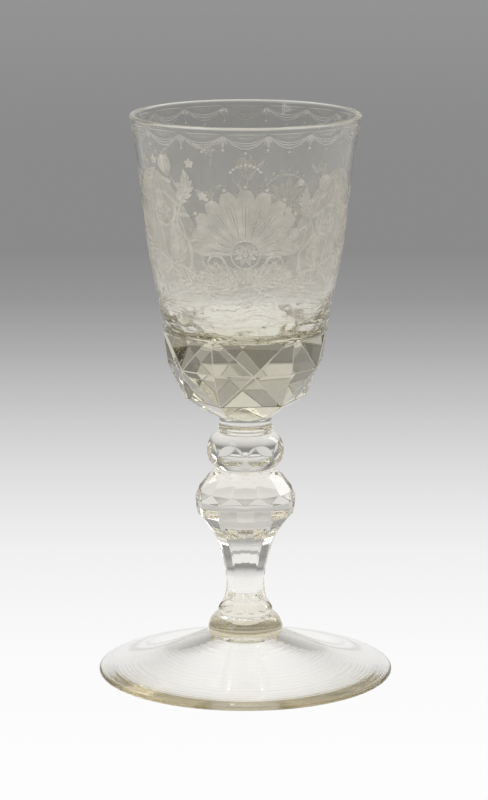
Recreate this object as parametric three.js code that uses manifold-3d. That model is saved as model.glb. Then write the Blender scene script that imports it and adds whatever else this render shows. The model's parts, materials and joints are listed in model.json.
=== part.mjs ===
// A goblet of clear glass: a tapering bowl on a cut base, a collar and a merese, a cut knop,
// a cut inverted baluster, a base knop and a wide trumpet foot.
// It is hot-worked glass, so each gather is its own solid, and each stands on a flat face of
// the one below it. Millimetres, +Z up, origin under the centre of the foot.
import * as THREE from "three";
import { mergeVertices } from "three/addons/utils/BufferGeometryUtils.js";
import Module from "manifold-3d";

const wasm = await Module();
wasm.setup();

// Foot: a hollow cone that flares out to a thin edge, under a round post.
const FOOT_RADIUS = 52.3;
const FOOT_EDGE = 1.5;
const FOOT_REST = 5.2;
const FOOT_FLARE = 1.5;
const POST_HEIGHT = 21;
const POST_RADIUS = 9.7;
const POST_SWELL = 13.4;
const POST_FOOT = 14.3;
const PONTIL_RADIUS = 8.5;
const SCAR_HEIGHT = 10.4;
const SCAR_LIP = 1.2;

// Base knop: round below, cut to a polygon above.
const BASE_KNOP_HEIGHT = 5.6;
const BASE_KNOP_RADIUS = 9.6;
const BASE_KNOP_BAND = 2;

// Baluster: a fluted shaft that swells to a band, with a cut shoulder and a round top.
const SHAFT_HEIGHT = 31.1;
const SHAFT_FOOT_RADIUS = 7.5;
const SHAFT_WAIST_RADIUS = 6.9;
const BAND_HEIGHT = 5.5;
const BAND_RADIUS = 17.75;
const BAND_TAPER = 0.55;
const SHOULDER_HEIGHT = 11;
const SHOULDER_TOP_RADIUS = 10.4;
const BALUSTER_SIDES = 12;

// Upper knop: a squat ball with one ring of flat ovals.
const KNOP_HEIGHT = 13;
const KNOP_RADIUS = 13.6;
const KNOP_SEAT_RADIUS = 8;
const KNOP_TOP_RADIUS = 9.8;
const KNOP_FLAT = 12.7;
const KNOP_SIDES = 8;

// Merese: a thin ridged disc. Collar: the short waisted neck between it and the bowl.
const MERESE_HEIGHT = 2.2;
const MERESE_RADIUS = 10;
const MERESE_GROOVE = 0.35;
const COLLAR_HEIGHT = 3.3;
const COLLAR_RADIUS = 9.5;
const COLLAR_WAIST = 0.3;

// Bowl: heights are above the bowl's own flat underside.
const BOWL_HEIGHT = 107.3;
const RIM_RADIUS = 40.5;
const RIM_WALL = 2;
const LOW_WALL = 2.7;
const CUT_HEIGHT = 19.4;
const CUT_RADIUS = 27.7;
const CUT_DEPTH = 0.4;
const CUT_TURN = Math.PI / 30;
const LEDGE_HEIGHT = 31;
const LEDGE_DEPTH = 3.2;
const UNDER_HEIGHT = 7;
const UNDER_RADIUS = 18.6;
const SEAT_MARGIN = 0.05;
const WALL_WAVE = 0.5;
const SHOULDER_OF_CAVITY = 45.5;
const CAVITY_FLOOR = 26.8;
const CAVITY_FLOOR_RADIUS = 25.5;
const BOWL_SIDES = 12;
const UNDERSIDE_SIDES = 6;

const ROUND_SIDES = 60;
const STEM_ROUND_SIDES = 48;
const EDGE_STEPS = 6;

// Turns an outline of [radius, height] points about Z. Azimuth 0 is the front, -Y.
function turned(outline, sides = ROUND_SIDES, azimuth = 0) {
  const points = outline.map(([radius, height]) => new THREE.Vector2(radius, height));
  return new THREE.LatheGeometry(points, sides, azimuth).rotateX(Math.PI / 2);
}

// A smooth run of points through the given [radius, height] pairs.
function smooth(pairs, steps) {
  const curve = new THREE.CatmullRomCurve3(
    pairs.map(([radius, height]) => new THREE.Vector3(radius, height, 0)),
    false,
    "centripetal",
  );
  return curve.getPoints(steps).map((point) => [point.x, point.y]);
}

// A closed geometry as a solid that can be cut.
function solidOf(geometry) {
  geometry.deleteAttribute("normal");
  geometry.deleteAttribute("uv");
  const merged = mergeVertices(geometry, 1e-3);
  return new wasm.Manifold(
    new wasm.Mesh({
      numProp: 3,
      vertProperties: merged.attributes.position.array,
      triVerts: new Uint32Array(merged.index.array),
    }),
  );
}

// A cut solid back as a geometry, with one vertex at each corner.
function geometryOf(solid) {
  const mesh = solid.getMesh();
  const corners = new Float32Array(mesh.numVert * 3);
  for (let i = 0; i < mesh.numVert; i++) {
    corners.set(mesh.vertProperties.subarray(i * mesh.numProp, i * mesh.numProp + 3), i * 3);
  }
  const geometry = new THREE.BufferGeometry();
  geometry.setAttribute("position", new THREE.BufferAttribute(corners, 3));
  geometry.setIndex(new THREE.BufferAttribute(mesh.triVerts, 1));
  geometry.computeVertexNormals();
  return geometry;
}

// Grinds a ring of flats. Each lies at the given radius at the given height, and its radius
// grows by slope for each millimetre upwards. Azimuth 0 has a flat at the front. A flat with
// a top ends there in a ledge.
function ground(solid, { sides, azimuth = 0, radius, height, slope = 0, top }) {
  const size = 4 * (RIM_RADIUS + BOWL_HEIGHT);
  let cut = solid;
  for (let i = 0; i < sides; i++) {
    const turn = azimuth + (i * 2 * Math.PI) / sides;
    const outward = new THREE.Vector3(Math.sin(turn), -Math.cos(turn), 0);
    const normal = outward.clone().setZ(-slope).normalize();
    const waste = new THREE.BoxGeometry(size, size, size).translate(0, 0, size / 2);
    waste.applyQuaternion(
      new THREE.Quaternion().setFromUnitVectors(new THREE.Vector3(0, 0, 1), normal),
    );
    const point = outward.multiplyScalar(radius);
    waste.translate(point.x, point.y, height);
    const whole = solidOf(waste);
    cut = cut.subtract(top === undefined ? whole : whole.trimByPlane([0, 0, -1], -top));
  }
  return cut;
}

// The flare of the foot, from its high inner end to its low outer end.
function flare([startRadius, startHeight], [endRadius, endHeight], steps) {
  const points = [];
  for (let i = 0; i <= steps; i++) {
    const share = i / steps;
    points.push([
      startRadius + (endRadius - startRadius) * share,
      endHeight + (startHeight - endHeight) * (1 - share) ** FOOT_FLARE,
    ]);
  }
  return points;
}

// The foot stands on a narrow ring under its edge, and its hollow underside follows the top.
function footGeometry() {
  const edge = FOOT_EDGE / 2;
  const rim = FOOT_RADIUS - edge;
  const edgeArc = [];
  for (let i = 0; i <= EDGE_STEPS; i++) {
    const turn = -Math.PI / 2 + (i * Math.PI) / EDGE_STEPS;
    edgeArc.push([rim + edge * Math.cos(turn), edge + edge * Math.sin(turn)]);
  }
  const top = flare([POST_SWELL, POST_FOOT], [rim, FOOT_EDGE], 12).reverse();
  const under = flare([PONTIL_RADIUS + SCAR_LIP, SCAR_HEIGHT], [rim - FOOT_REST, 0], 10);
  const rise = POST_HEIGHT - POST_FOOT;
  const swell = POST_SWELL - POST_RADIUS;
  const boss = smooth(
    [
      [POST_SWELL, POST_FOOT],
      [POST_RADIUS + swell * 0.93, POST_FOOT + rise * 0.37],
      [POST_RADIUS + swell * 0.68, POST_FOOT + rise * 0.7],
      [POST_RADIUS + swell * 0.3, POST_HEIGHT - rise * 0.06],
      [POST_RADIUS, POST_HEIGHT],
    ],
    8,
  );
  return turned([
    [0, SCAR_HEIGHT],
    [PONTIL_RADIUS, SCAR_HEIGHT],
    ...under,
    ...edgeArc,
    ...top.slice(1),
    ...boss.slice(1),
    [0, POST_HEIGHT],
  ]);
}

// Round where it sits on the post, then cut in to the width of the shaft.
function baseKnopGeometry() {
  const blank = solidOf(
    turned(
      [
        [0, 0],
        [BASE_KNOP_RADIUS - 0.4, 0],
        [BASE_KNOP_RADIUS, 0.6],
        [BASE_KNOP_RADIUS, BASE_KNOP_BAND],
        [BASE_KNOP_RADIUS - 0.4, BASE_KNOP_BAND + 1],
        [SHAFT_FOOT_RADIUS, BASE_KNOP_HEIGHT],
        [0, BASE_KNOP_HEIGHT],
      ],
      STEM_ROUND_SIDES,
    ),
  );
  const rise = BASE_KNOP_HEIGHT - BASE_KNOP_BAND;
  return geometryOf(
    ground(blank, {
      sides: BALUSTER_SIDES,
      azimuth: Math.PI / BALUSTER_SIDES,
      radius: SHAFT_FOOT_RADIUS * Math.cos(Math.PI / BALUSTER_SIDES),
      height: BASE_KNOP_HEIGHT,
      slope: -(BASE_KNOP_RADIUS - SHAFT_FOOT_RADIUS) / rise,
    }),
  );
}

// The flutes are a polygon that follows the shaft's curve, and the band goes on from them.
// Two rings of flats cut the shoulder: kites that reach down between the band's sides, and
// long flats above them that run out in the round top.
function balusterGeometry() {
  const height = SHAFT_HEIGHT + BAND_HEIGHT + SHOULDER_HEIGHT;
  const shoulder = height - SHOULDER_HEIGHT;
  const swell = BAND_RADIUS - BAND_TAPER - SHAFT_WAIST_RADIUS;
  const shaft = smooth(
    [
      [SHAFT_FOOT_RADIUS, 0],
      [SHAFT_WAIST_RADIUS, SHAFT_HEIGHT * 0.1],
      [SHAFT_WAIST_RADIUS, SHAFT_HEIGHT * 0.26],
      [SHAFT_WAIST_RADIUS + swell * 0.11, SHAFT_HEIGHT * 0.46],
      [SHAFT_WAIST_RADIUS + swell * 0.35, SHAFT_HEIGHT * 0.7],
      [SHAFT_WAIST_RADIUS + swell * 0.77, SHAFT_HEIGHT * 0.91],
      [BAND_RADIUS - BAND_TAPER, SHAFT_HEIGHT],
    ],
    16,
  );
  const fluted = solidOf(
    turned(
      [
        [0, 0],
        ...shaft,
        [BAND_RADIUS, shoulder],
        [BAND_RADIUS - 0.08 * SHOULDER_HEIGHT, height],
        [0, height],
      ],
      BALUSTER_SIDES,
    ),
  );
  const outside = BAND_RADIUS + 1;
  const cornerRadius = 1.1;
  const blank = solidOf(
    turned(
      [
        [0, 0],
        [outside, 0],
        [outside, shoulder],
        [BAND_RADIUS - 2.1, shoulder + SHOULDER_HEIGHT * 0.5],
        [BAND_RADIUS - 4.2, height - 3.2],
        [SHOULDER_TOP_RADIUS + 0.9 * cornerRadius, height - cornerRadius],
        [SHOULDER_TOP_RADIUS + 0.5 * cornerRadius, height - 0.3 * cornerRadius],
        [SHOULDER_TOP_RADIUS, height],
        [0, height],
      ],
      STEM_ROUND_SIDES,
    ),
  );
  let cut = fluted.intersect(blank);
  cut = ground(cut, {
    sides: BALUSTER_SIDES,
    radius: BAND_RADIUS,
    height: shoulder + 0.8,
    slope: -0.54,
  });
  cut = ground(cut, {
    sides: BALUSTER_SIDES,
    radius: BAND_RADIUS - 2.5,
    height: shoulder + SHOULDER_HEIGHT * 0.44,
    slope: -0.74,
  });
  return geometryOf(cut);
}

// A squat ball whose ovals just miss each other on its widest line.
function knopGeometry() {
  const outline = smooth(
    [
      [KNOP_SEAT_RADIUS, 0],
      [KNOP_RADIUS - 3.1, KNOP_HEIGHT * 0.03],
      [KNOP_RADIUS - 1.7, KNOP_HEIGHT * 0.12],
      [KNOP_RADIUS - 0.4, KNOP_HEIGHT * 0.28],
      [KNOP_RADIUS, KNOP_HEIGHT * 0.48],
      [KNOP_RADIUS - 0.6, KNOP_HEIGHT * 0.72],
      [KNOP_RADIUS - 2.3, KNOP_HEIGHT * 0.91],
      [KNOP_TOP_RADIUS, KNOP_HEIGHT],
    ],
    16,
  );
  const blank = solidOf(turned([[0, 0], ...outline, [0, KNOP_HEIGHT]], STEM_ROUND_SIDES));
  return geometryOf(
    ground(blank, {
      sides: KNOP_SIDES,
      azimuth: Math.PI / KNOP_SIDES,
      radius: KNOP_FLAT,
      height: KNOP_HEIGHT / 2,
    }),
  );
}

// Two thin ridges with a groove between them.
function mereseGeometry() {
  const groove = MERESE_RADIUS - MERESE_GROOVE;
  return turned(
    [
      [0, 0],
      [groove, 0],
      [MERESE_RADIUS, MERESE_HEIGHT * 0.2],
      [groove, MERESE_HEIGHT * 0.45],
      [MERESE_RADIUS - 0.1, MERESE_HEIGHT * 0.72],
      [groove - 0.1, MERESE_HEIGHT],
      [0, MERESE_HEIGHT],
    ],
    STEM_ROUND_SIDES,
  );
}

// A short neck, slightly waisted.
function collarGeometry() {
  return turned(
    [
      [0, 0],
      [COLLAR_RADIUS, 0],
      [COLLAR_RADIUS - COLLAR_WAIST, COLLAR_HEIGHT * 0.4],
      [COLLAR_RADIUS - COLLAR_WAIST / 2, COLLAR_HEIGHT * 0.75],
      [COLLAR_RADIUS, COLLAR_HEIGHT],
      [0, COLLAR_HEIGHT],
    ],
    STEM_ROUND_SIDES,
  );
}

// The outer radius of the uncut bowl at a height above its underside: a cone with the
// slight wave of a blown wall.
function bowlRadius(height) {
  const share = (height - CUT_HEIGHT) / (BOWL_HEIGHT - CUT_HEIGHT);
  const wave = WALL_WAVE * Math.sin(3 * Math.PI * Math.max(share, 0));
  return CUT_RADIUS + (RIM_RADIUS - CUT_RADIUS) * share - wave;
}

// The bowl is turned with its cavity. Then its solid base is cut below a ledge: two rings of
// flats meet in a line of crosses, every other cross has a triangle over and under it, and
// the underside has six sides.
function bowlGeometry() {
  const wallSteps = 14;
  const wallFoot = CUT_HEIGHT * 0.82;
  const wall = [];
  for (let i = 0; i <= wallSteps; i++) {
    const height = wallFoot + ((BOWL_HEIGHT - RIM_WALL / 2 - wallFoot) * i) / wallSteps;
    wall.push([bowlRadius(height), height]);
  }
  const lip = [];
  for (let i = 1; i < EDGE_STEPS; i++) {
    const turn = (i * Math.PI) / EDGE_STEPS;
    lip.push([
      RIM_RADIUS - (RIM_WALL / 2) * (1 - Math.cos(turn)),
      BOWL_HEIGHT - (RIM_WALL / 2) * (1 - Math.sin(turn)),
    ]);
  }
  const insideTop = BOWL_HEIGHT - RIM_WALL / 2;
  const insideWall = [];
  for (let i = 0; i <= wallSteps; i++) {
    const share = i / wallSteps;
    const height = insideTop + (SHOULDER_OF_CAVITY - insideTop) * share;
    const thickness = RIM_WALL + (LOW_WALL - RIM_WALL) * share;
    insideWall.push([bowlRadius(height) - thickness, height]);
  }
  const low = bowlRadius(SHOULDER_OF_CAVITY) - LOW_WALL;
  const depth = SHOULDER_OF_CAVITY - CAVITY_FLOOR;
  const floor = smooth(
    [
      [low, SHOULDER_OF_CAVITY],
      [CAVITY_FLOOR_RADIUS, CAVITY_FLOOR + depth * 0.5],
      [CAVITY_FLOOR_RADIUS * 0.86, CAVITY_FLOOR + depth * 0.24],
      [CAVITY_FLOOR_RADIUS * 0.5, CAVITY_FLOOR + depth * 0.05],
      [0, CAVITY_FLOOR],
    ],
    10,
  );
  const blank = solidOf(
    turned([
      [0, 0],
      [COLLAR_RADIUS, 0],
      [(COLLAR_RADIUS + CUT_RADIUS) / 2 - 1.5, CUT_HEIGHT * 0.19],
      [CUT_RADIUS - 7, CUT_HEIGHT * 0.3],
      [CUT_RADIUS - 4.7, CUT_HEIGHT * 0.44],
      ...wall,
      ...lip,
      ...insideWall,
      ...floor.slice(1),
    ]),
  );
  const corner = CUT_RADIUS - CUT_DEPTH;
  const rise = LEDGE_HEIGHT - CUT_HEIGHT;
  const drop = CUT_HEIGHT - UNDER_HEIGHT;
  const half = Math.PI / BOWL_SIDES;
  const inset = Math.cos(half);
  const underCorner = UNDER_RADIUS / Math.cos(Math.PI / UNDERSIDE_SIDES);
  const beside = {
    sides: BOWL_SIDES,
    azimuth: CUT_TURN + half,
    radius: corner * inset,
    height: CUT_HEIGHT,
    top: LEDGE_HEIGHT,
  };
  const crossed = {
    sides: UNDERSIDE_SIDES,
    azimuth: CUT_TURN,
    radius: corner,
    height: CUT_HEIGHT,
    top: LEDGE_HEIGHT,
  };
  const wallAtLedge = bowlRadius(LEDGE_HEIGHT);
  let cut = ground(blank, { ...beside, slope: (inset * (wallAtLedge - corner)) / rise });
  cut = ground(cut, { ...beside, slope: (inset * (corner - underCorner)) / drop });
  cut = ground(cut, { ...crossed, slope: (wallAtLedge - LEDGE_DEPTH - corner) / rise });
  cut = ground(cut, { ...crossed, slope: (corner - UNDER_RADIUS) / drop });
  cut = ground(cut, {
    sides: UNDERSIDE_SIDES,
    azimuth: CUT_TURN,
    radius: COLLAR_RADIUS + SEAT_MARGIN,
    height: 0,
    slope: (UNDER_RADIUS - COLLAR_RADIUS) / UNDER_HEIGHT,
  });
  return geometryOf(cut);
}

const GLASS = { color: 0xe6e4d8, roughness: 0.04, metalness: 0, transparent: true, opacity: 0.5 };

// Puts a named piece on the goblet, and answers with the height of its top.
function place(goblet, name, geometry, base, height) {
  const piece = new THREE.Mesh(geometry, new THREE.MeshStandardMaterial(GLASS));
  piece.name = name;
  piece.position.z = base;
  goblet.add(piece);
  return base + height;
}

const goblet = new THREE.Group();
let level = place(goblet, "foot", footGeometry(), 0, POST_HEIGHT);
level = place(goblet, "base_knop", baseKnopGeometry(), level, BASE_KNOP_HEIGHT);
level = place(
  goblet,
  "baluster",
  balusterGeometry(),
  level,
  SHAFT_HEIGHT + BAND_HEIGHT + SHOULDER_HEIGHT,
);
level = place(goblet, "upper_knop", knopGeometry(), level, KNOP_HEIGHT);
level = place(goblet, "merese", mereseGeometry(), level, MERESE_HEIGHT);
level = place(goblet, "bowl_collar", collarGeometry(), level, COLLAR_HEIGHT);
place(goblet, "bowl", bowlGeometry(), level, BOWL_HEIGHT);

export default goblet;
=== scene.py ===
"""A clear glass goblet, cut and engraved, on a plain pale table in soft studio light.

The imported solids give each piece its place. Every piece is made again here with a finer
surface: round stretches, ground flats with soft edges, and a bowl wall with its engraving.
"""

import json
import logging
import math
from collections import defaultdict
from collections.abc import Callable, Iterable, Sequence
from dataclasses import dataclass, field
from enum import Enum
from typing import Any

import bmesh
import bpy
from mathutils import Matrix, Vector, noise
from mathutils.geometry import delaunay_2d_cdt

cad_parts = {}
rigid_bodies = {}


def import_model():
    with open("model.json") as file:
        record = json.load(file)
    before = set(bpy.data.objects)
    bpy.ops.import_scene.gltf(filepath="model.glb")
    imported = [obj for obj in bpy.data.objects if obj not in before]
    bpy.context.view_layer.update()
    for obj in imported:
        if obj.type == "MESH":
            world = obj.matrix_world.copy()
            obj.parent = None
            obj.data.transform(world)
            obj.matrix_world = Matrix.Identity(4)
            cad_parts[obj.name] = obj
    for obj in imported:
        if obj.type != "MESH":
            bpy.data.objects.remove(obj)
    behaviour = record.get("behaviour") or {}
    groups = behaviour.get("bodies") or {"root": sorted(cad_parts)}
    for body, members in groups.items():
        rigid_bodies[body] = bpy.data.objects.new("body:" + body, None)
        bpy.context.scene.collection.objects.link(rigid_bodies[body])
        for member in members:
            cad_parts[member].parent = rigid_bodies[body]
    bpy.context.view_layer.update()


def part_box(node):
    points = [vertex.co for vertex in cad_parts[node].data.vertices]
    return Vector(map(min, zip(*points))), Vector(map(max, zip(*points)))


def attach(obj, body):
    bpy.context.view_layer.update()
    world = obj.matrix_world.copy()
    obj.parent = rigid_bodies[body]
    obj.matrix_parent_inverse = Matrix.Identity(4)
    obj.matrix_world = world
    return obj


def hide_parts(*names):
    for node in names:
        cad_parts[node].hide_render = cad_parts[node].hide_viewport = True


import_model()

LOG = logging.getLogger("goblet")
MM = 0.001
SEAT_GAP = 0.01 * MM
TINY = 1e-9
CLOSE = 1e-7
NEAR = 1e-6
Point = tuple[float, float]
Path = list[Point]
Colour = tuple[float, float, float]
Bands = tuple[Point, ...]


class Slot(Enum):
    """The record's material slots."""

    FOOT = "foot_glass"
    STEM = "stem_glass"
    BOWL = "bowl_glass"


def smooth(points: Sequence[Sequence[float]], steps: int) -> list[tuple[float, ...]]:
    """Draws a centripetal curve through points.

    Args:
        points: The points that the curve passes through.
        steps: How many equal steps the curve has in all.

    Returns:
        The points of the curve, both ends among them.
    """
    pts = [Vector(p) for p in points]
    pts = [pts[0] * 2 - pts[1], *pts, pts[-1] * 2 - pts[-2]]
    spans = len(pts) - 3
    made = []
    for step in range(steps + 1):
        place = min(step * spans / steps, spans - TINY)
        i = int(place)
        a, b, c, d = pts[i : i + 4]
        t1 = max((b - a).length, TINY) ** 0.5
        t2 = t1 + max((c - b).length, TINY) ** 0.5
        t3 = t2 + max((d - c).length, TINY) ** 0.5
        t = t1 + (t2 - t1) * (place - i)
        ab = a * ((t1 - t) / t1) + b * (t / t1)
        bc = b * ((t2 - t) / (t2 - t1)) + c * ((t - t1) / (t2 - t1))
        cd = c * ((t3 - t) / (t3 - t2)) + d * ((t - t2) / (t3 - t2))
        abc = ab * ((t2 - t) / t2) + bc * (t / t2)
        bcd = bc * ((t3 - t) / (t3 - t1)) + cd * ((t - t1) / (t3 - t1))
        made.append(tuple(abc * ((t2 - t) / (t2 - t1)) + bcd * ((t - t1) / (t2 - t1))))
    return made


def around(azimuth: float, radius: float, height: float) -> Vector:
    """Gives the point at an azimuth in radians, 0 at the front and growing towards +X."""
    return Vector((radius * math.sin(azimuth), -radius * math.cos(azimuth), height))


class Value:
    """A shader number whose operators add Math nodes."""

    def __init__(self, shade: "Shade", socket: bpy.types.NodeSocket) -> None:
        """Keeps the socket and the material that it belongs to."""
        self.shade = shade
        self.socket = socket

    def math(self, operation: str, *others: Any) -> "Value":
        """Adds a Math node with this number first."""
        return self.shade.add("ShaderNodeMath", {"operation": operation}, dict(enumerate((self, *others))))

    def axis(self, number: int) -> "Value":
        """Gives one coordinate of a vector."""
        return self.shade.add("ShaderNodeSeparateXYZ", None, {0: self}, number)

    def __add__(self, other: Any) -> "Value":
        """Adds."""
        return self.math("ADD", other)

    def __radd__(self, other: Any) -> "Value":
        """Adds."""
        return self.math("ADD", other)

    def __sub__(self, other: Any) -> "Value":
        """Subtracts."""
        return self.math("SUBTRACT", other)

    def __rsub__(self, other: float) -> "Value":
        """Subtracts this from a plain number."""
        return self.shade.add("ShaderNodeMath", {"operation": "SUBTRACT"}, {0: other, 1: self})

    def __mul__(self, other: Any) -> "Value":
        """Multiplies."""
        return self.math("MULTIPLY", other)

    def __rmul__(self, other: Any) -> "Value":
        """Multiplies."""
        return self.math("MULTIPLY", other)


class Shade:
    """The nodes of a material or a world under construction."""

    def __init__(self, holder: bpy.types.Material | bpy.types.World) -> None:
        """Starts an empty tree in its holder.

        Args:
            holder: The material or world that owns the tree.
        """
        holder.use_nodes = True
        self.tree = holder.node_tree
        self.tree.nodes.clear()

    def add(
        self,
        kind: str,
        settings: dict[str, Any] | None = None,
        sockets: dict[int | str, Any] | None = None,
        out: int | str = 0,
    ) -> Value:
        """Adds a node.

        Args:
            kind: The node's type.
            settings: Its properties. A ramp's stops are given as "stops".
            sockets: Its inputs by name or number, as values or as links.
            out: The output that the answer stands for.

        Returns:
            The chosen output.
        """
        node = self.tree.nodes.new(kind)
        for key, value in (settings or {}).items():
            if key == "stops":
                ramp = node.color_ramp
                while len(ramp.elements) < len(value):
                    ramp.elements.new(1.0)
                for element, (place, colour) in zip(ramp.elements, value):
                    element.position = place
                    element.color = (*colour, 1.0)
            else:
                setattr(node, key, value)
        for key, value in (sockets or {}).items():
            if isinstance(value, Value):
                self.tree.links.new(value.socket, node.inputs[key])
            else:
                node.inputs[key].default_value = value
        return Value(self, node.outputs[out] if node.outputs else None)

    def place(self) -> Value:
        """Gives the place on the object, in metres."""
        return self.add("ShaderNodeTexCoord", out="Object")

    def speckle(self, where: Value, scale: float, detail: float = 2.0) -> Value:
        """Gives smooth noise between 0 and 1 with so many patterns a metre."""
        return self.add("ShaderNodeTexNoise", None, {"Vector": where, "Scale": scale, "Detail": detail})

    def attribute(self, name: str) -> Value:
        """Reads a number stored on the mesh."""
        return self.add("ShaderNodeAttribute", {"attribute_name": name}, None, "Fac")

    def bump(self, height: Value) -> Value:
        """Turns a height in metres into a normal."""
        return self.add("ShaderNodeBump", None, {"Height": height, "Strength": 1.0, "Distance": 1.0})

    def ramp(self, place: Value, bands: Sequence[Point]) -> Value:
        """Gives grey light by a place between 0 and 1, from the levels at some places."""
        stops = [(stop, (level, level, level)) for stop, level in bands]
        return self.add("ShaderNodeValToRGB", {"stops": stops}, {0: place})

    def blend(self, share: Value, first: Any, second: Any) -> Value:
        """Mixes two colours by the share of the second."""
        sockets = {"Factor": share, "A": first, "B": second}
        return self.add("ShaderNodeMix", {"data_type": "RGBA"}, sockets, 2)


def linear(level: int) -> float:
    """Turns a grey of 0 to 255 as the eye sees it into light."""
    share = level / 255
    return share / 12.92 if share <= 0.04045 else ((share + 0.055) / 1.055) ** 2.4


@dataclass(frozen=True)
class Glass:
    """Clear glass with a faint cast that grows with its depth.

    Where the mesh attribute "seat" is 1, two gathers are fused and light passes undisturbed.
    A scale is how many patterns a metre holds, and a depth is in metres.
    """

    name: str
    wave_scale: float
    wave_depth: float
    ring_scale: float = 900.0
    ring_depth: float = 0.0
    smear_scale: float = 160.0
    smear_start: float = 0.55
    smear: float = 0.06
    grain_scale: float = 2600.0
    grain_depth: float = 0.06 * MM
    cloud_scale: float = 150.0
    cut_start: float = 0.25
    # The milky veil over the engraved wall is a painted reflection of the soft front light, laid on as matt
    # glass.
    painted_reflection_start: float = 0.3
    # How matt the worn edges are: partly real wear, partly painted highlight lines along the facet edges,
    # the ledge and the lip.
    wear_and_highlight: float = 0.0
    engraved: bool = False
    ior: float = 1.5
    skin: Colour = (0.99, 0.985, 0.97)
    matt: float = 0.42
    matt_spread: float = 0.2
    matt_clearness: float = 0.45
    matt_dark: Colour = (0.8, 0.745, 0.62)
    matt_light: Colour = (0.95, 0.9, 0.8)
    depth_tint: Colour = (0.74, 0.67, 0.45)
    depth_density: float = 9.0

    def make(self) -> bpy.types.Material:
        """Builds the material.

        Returns:
            The material.
        """
        material = bpy.data.materials.new(self.name)
        shade = Shade(material)
        where = shade.place()
        surface = self.clear(shade, where)
        if self.wear_and_highlight:
            cut, ground = self.cuts(shade, where), self.ground(shade, where)
            surface = shade.add("ShaderNodeMixShader", None, {0: cut, 1: surface, 2: ground})
        fused = shade.add("ShaderNodeBsdfTransparent", None, {"Color": (1.0, 1.0, 1.0, 1.0)})
        surface = shade.add("ShaderNodeMixShader", None, {0: shade.attribute("seat"), 1: surface, 2: fused})
        cast = {"Color": (*self.depth_tint, 1.0), "Density": self.depth_density}
        depth = shade.add("ShaderNodeVolumeAbsorption", None, cast)
        shade.add("ShaderNodeOutputMaterial", None, {"Surface": surface, "Volume": depth})
        return material

    def clear(self, shade: Shade, where: Value) -> Value:
        """Makes the fire-polished surface: slightly uneven, with faint smears.

        Args:
            shade: The material under construction.
            where: The place on the object.

        Returns:
            The shader.
        """
        height = shade.speckle(where, self.wave_scale) * self.wave_depth
        if self.ring_depth:
            x, y = where.axis(0), where.axis(1)
            radius = (x * x + y * y).math("SQRT")
            rings = shade.add(
                "ShaderNodeTexNoise", {"noise_dimensions": "1D"}, {"W": radius, "Scale": self.ring_scale}
            )
            height = height + rings * self.ring_depth
        smear = (shade.speckle(where, self.smear_scale, 3.0) - self.smear_start).math("MAXIMUM", 0.0)
        return shade.add(
            "ShaderNodeBsdfPrincipled",
            None,
            {
                "Base Color": (*self.skin, 1.0),
                "Roughness": smear * self.smear,
                "IOR": self.ior,
                "Transmission Weight": 1.0,
                "Normal": shade.bump(height),
            },
        )

    def cuts(self, shade: Shade, where: Value) -> Value:
        """Gives how matt the surface is: at worn edges, whose matt lines are also painted highlights, at
        engraved cuts, and under a veil that is a painted reflection.

        Args:
            shade: The material under construction.
            where: The place on the object.

        Returns:
            The share of matt glass.
        """
        # Worn edges: real wear that also stands in for painted highlight lines.
        cut = shade.attribute("edge") * self.wear_and_highlight
        if self.engraved:
            cloud = shade.speckle(where, self.cloud_scale, 3.0)
            cut = cut.math("MAXIMUM", shade.attribute("engraving") * (self.cut_start + cloud))
            # The veil: a painted reflection of the front light, laid on as matt glass.
            cut = cut.math("MAXIMUM", shade.attribute("veil") * (cloud + self.painted_reflection_start))
        return cut

    def ground(self, shade: Shade, where: Value) -> Value:
        """Makes the matt surface that a wheel leaves, also used for the worn edges with their painted
        highlights and for the veil that paints a reflection.

        Args:
            shade: The material under construction.
            where: The place on the object.

        Returns:
            The shader.
        """
        grain = shade.speckle(where, self.grain_scale, 3.0)
        cloud = shade.speckle(where, self.cloud_scale, 3.0)
        return shade.add(
            "ShaderNodeBsdfPrincipled",
            None,
            {
                "Base Color": shade.blend(cloud, (*self.matt_dark, 1.0), (*self.matt_light, 1.0)),
                "Roughness": self.matt + grain * self.matt_spread,
                "IOR": self.ior,
                "Transmission Weight": self.matt_clearness,
                "Normal": shade.bump(grain * self.grain_depth),
            },
        )


@dataclass(frozen=True)
class Seat:
    """A flat face where two gathers are fused."""

    height: float
    radius: float


@dataclass(frozen=True)
class Flats:
    """A ring of equal flats. Their distance from the axis grows by slope per metre upwards."""

    count: int
    radius: float
    height: float
    slope: float = 0.0
    phase: float = 0.0


def face_outward(mesh: bmesh.types.BMesh) -> None:
    """Turns the faces of a closed solid outward.

    Args:
        mesh: The solid.
    """
    bmesh.ops.recalc_face_normals(mesh, faces=mesh.faces)
    if mesh.calc_volume(signed=True) < 0.0:
        bmesh.ops.reverse_faces(mesh, faces=mesh.faces)


def mark_seats(mesh: bpy.types.Mesh, seats: Iterable[Seat]) -> None:
    """Stores on each face whether it lies in a seat.

    Args:
        mesh: The mesh to mark.
        seats: The seats of the piece.
    """
    marks = mesh.attributes.new("seat", "FLOAT", "FACE")
    close = 0.02 * MM
    for polygon in mesh.polygons:
        corners = [mesh.vertices[i].co for i in polygon.vertices]
        for seat in seats:
            if all(abs(c.z - seat.height) < close and c.xy.length < seat.radius + close for c in corners):
                marks.data[polygon.index].value = 1.0


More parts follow.
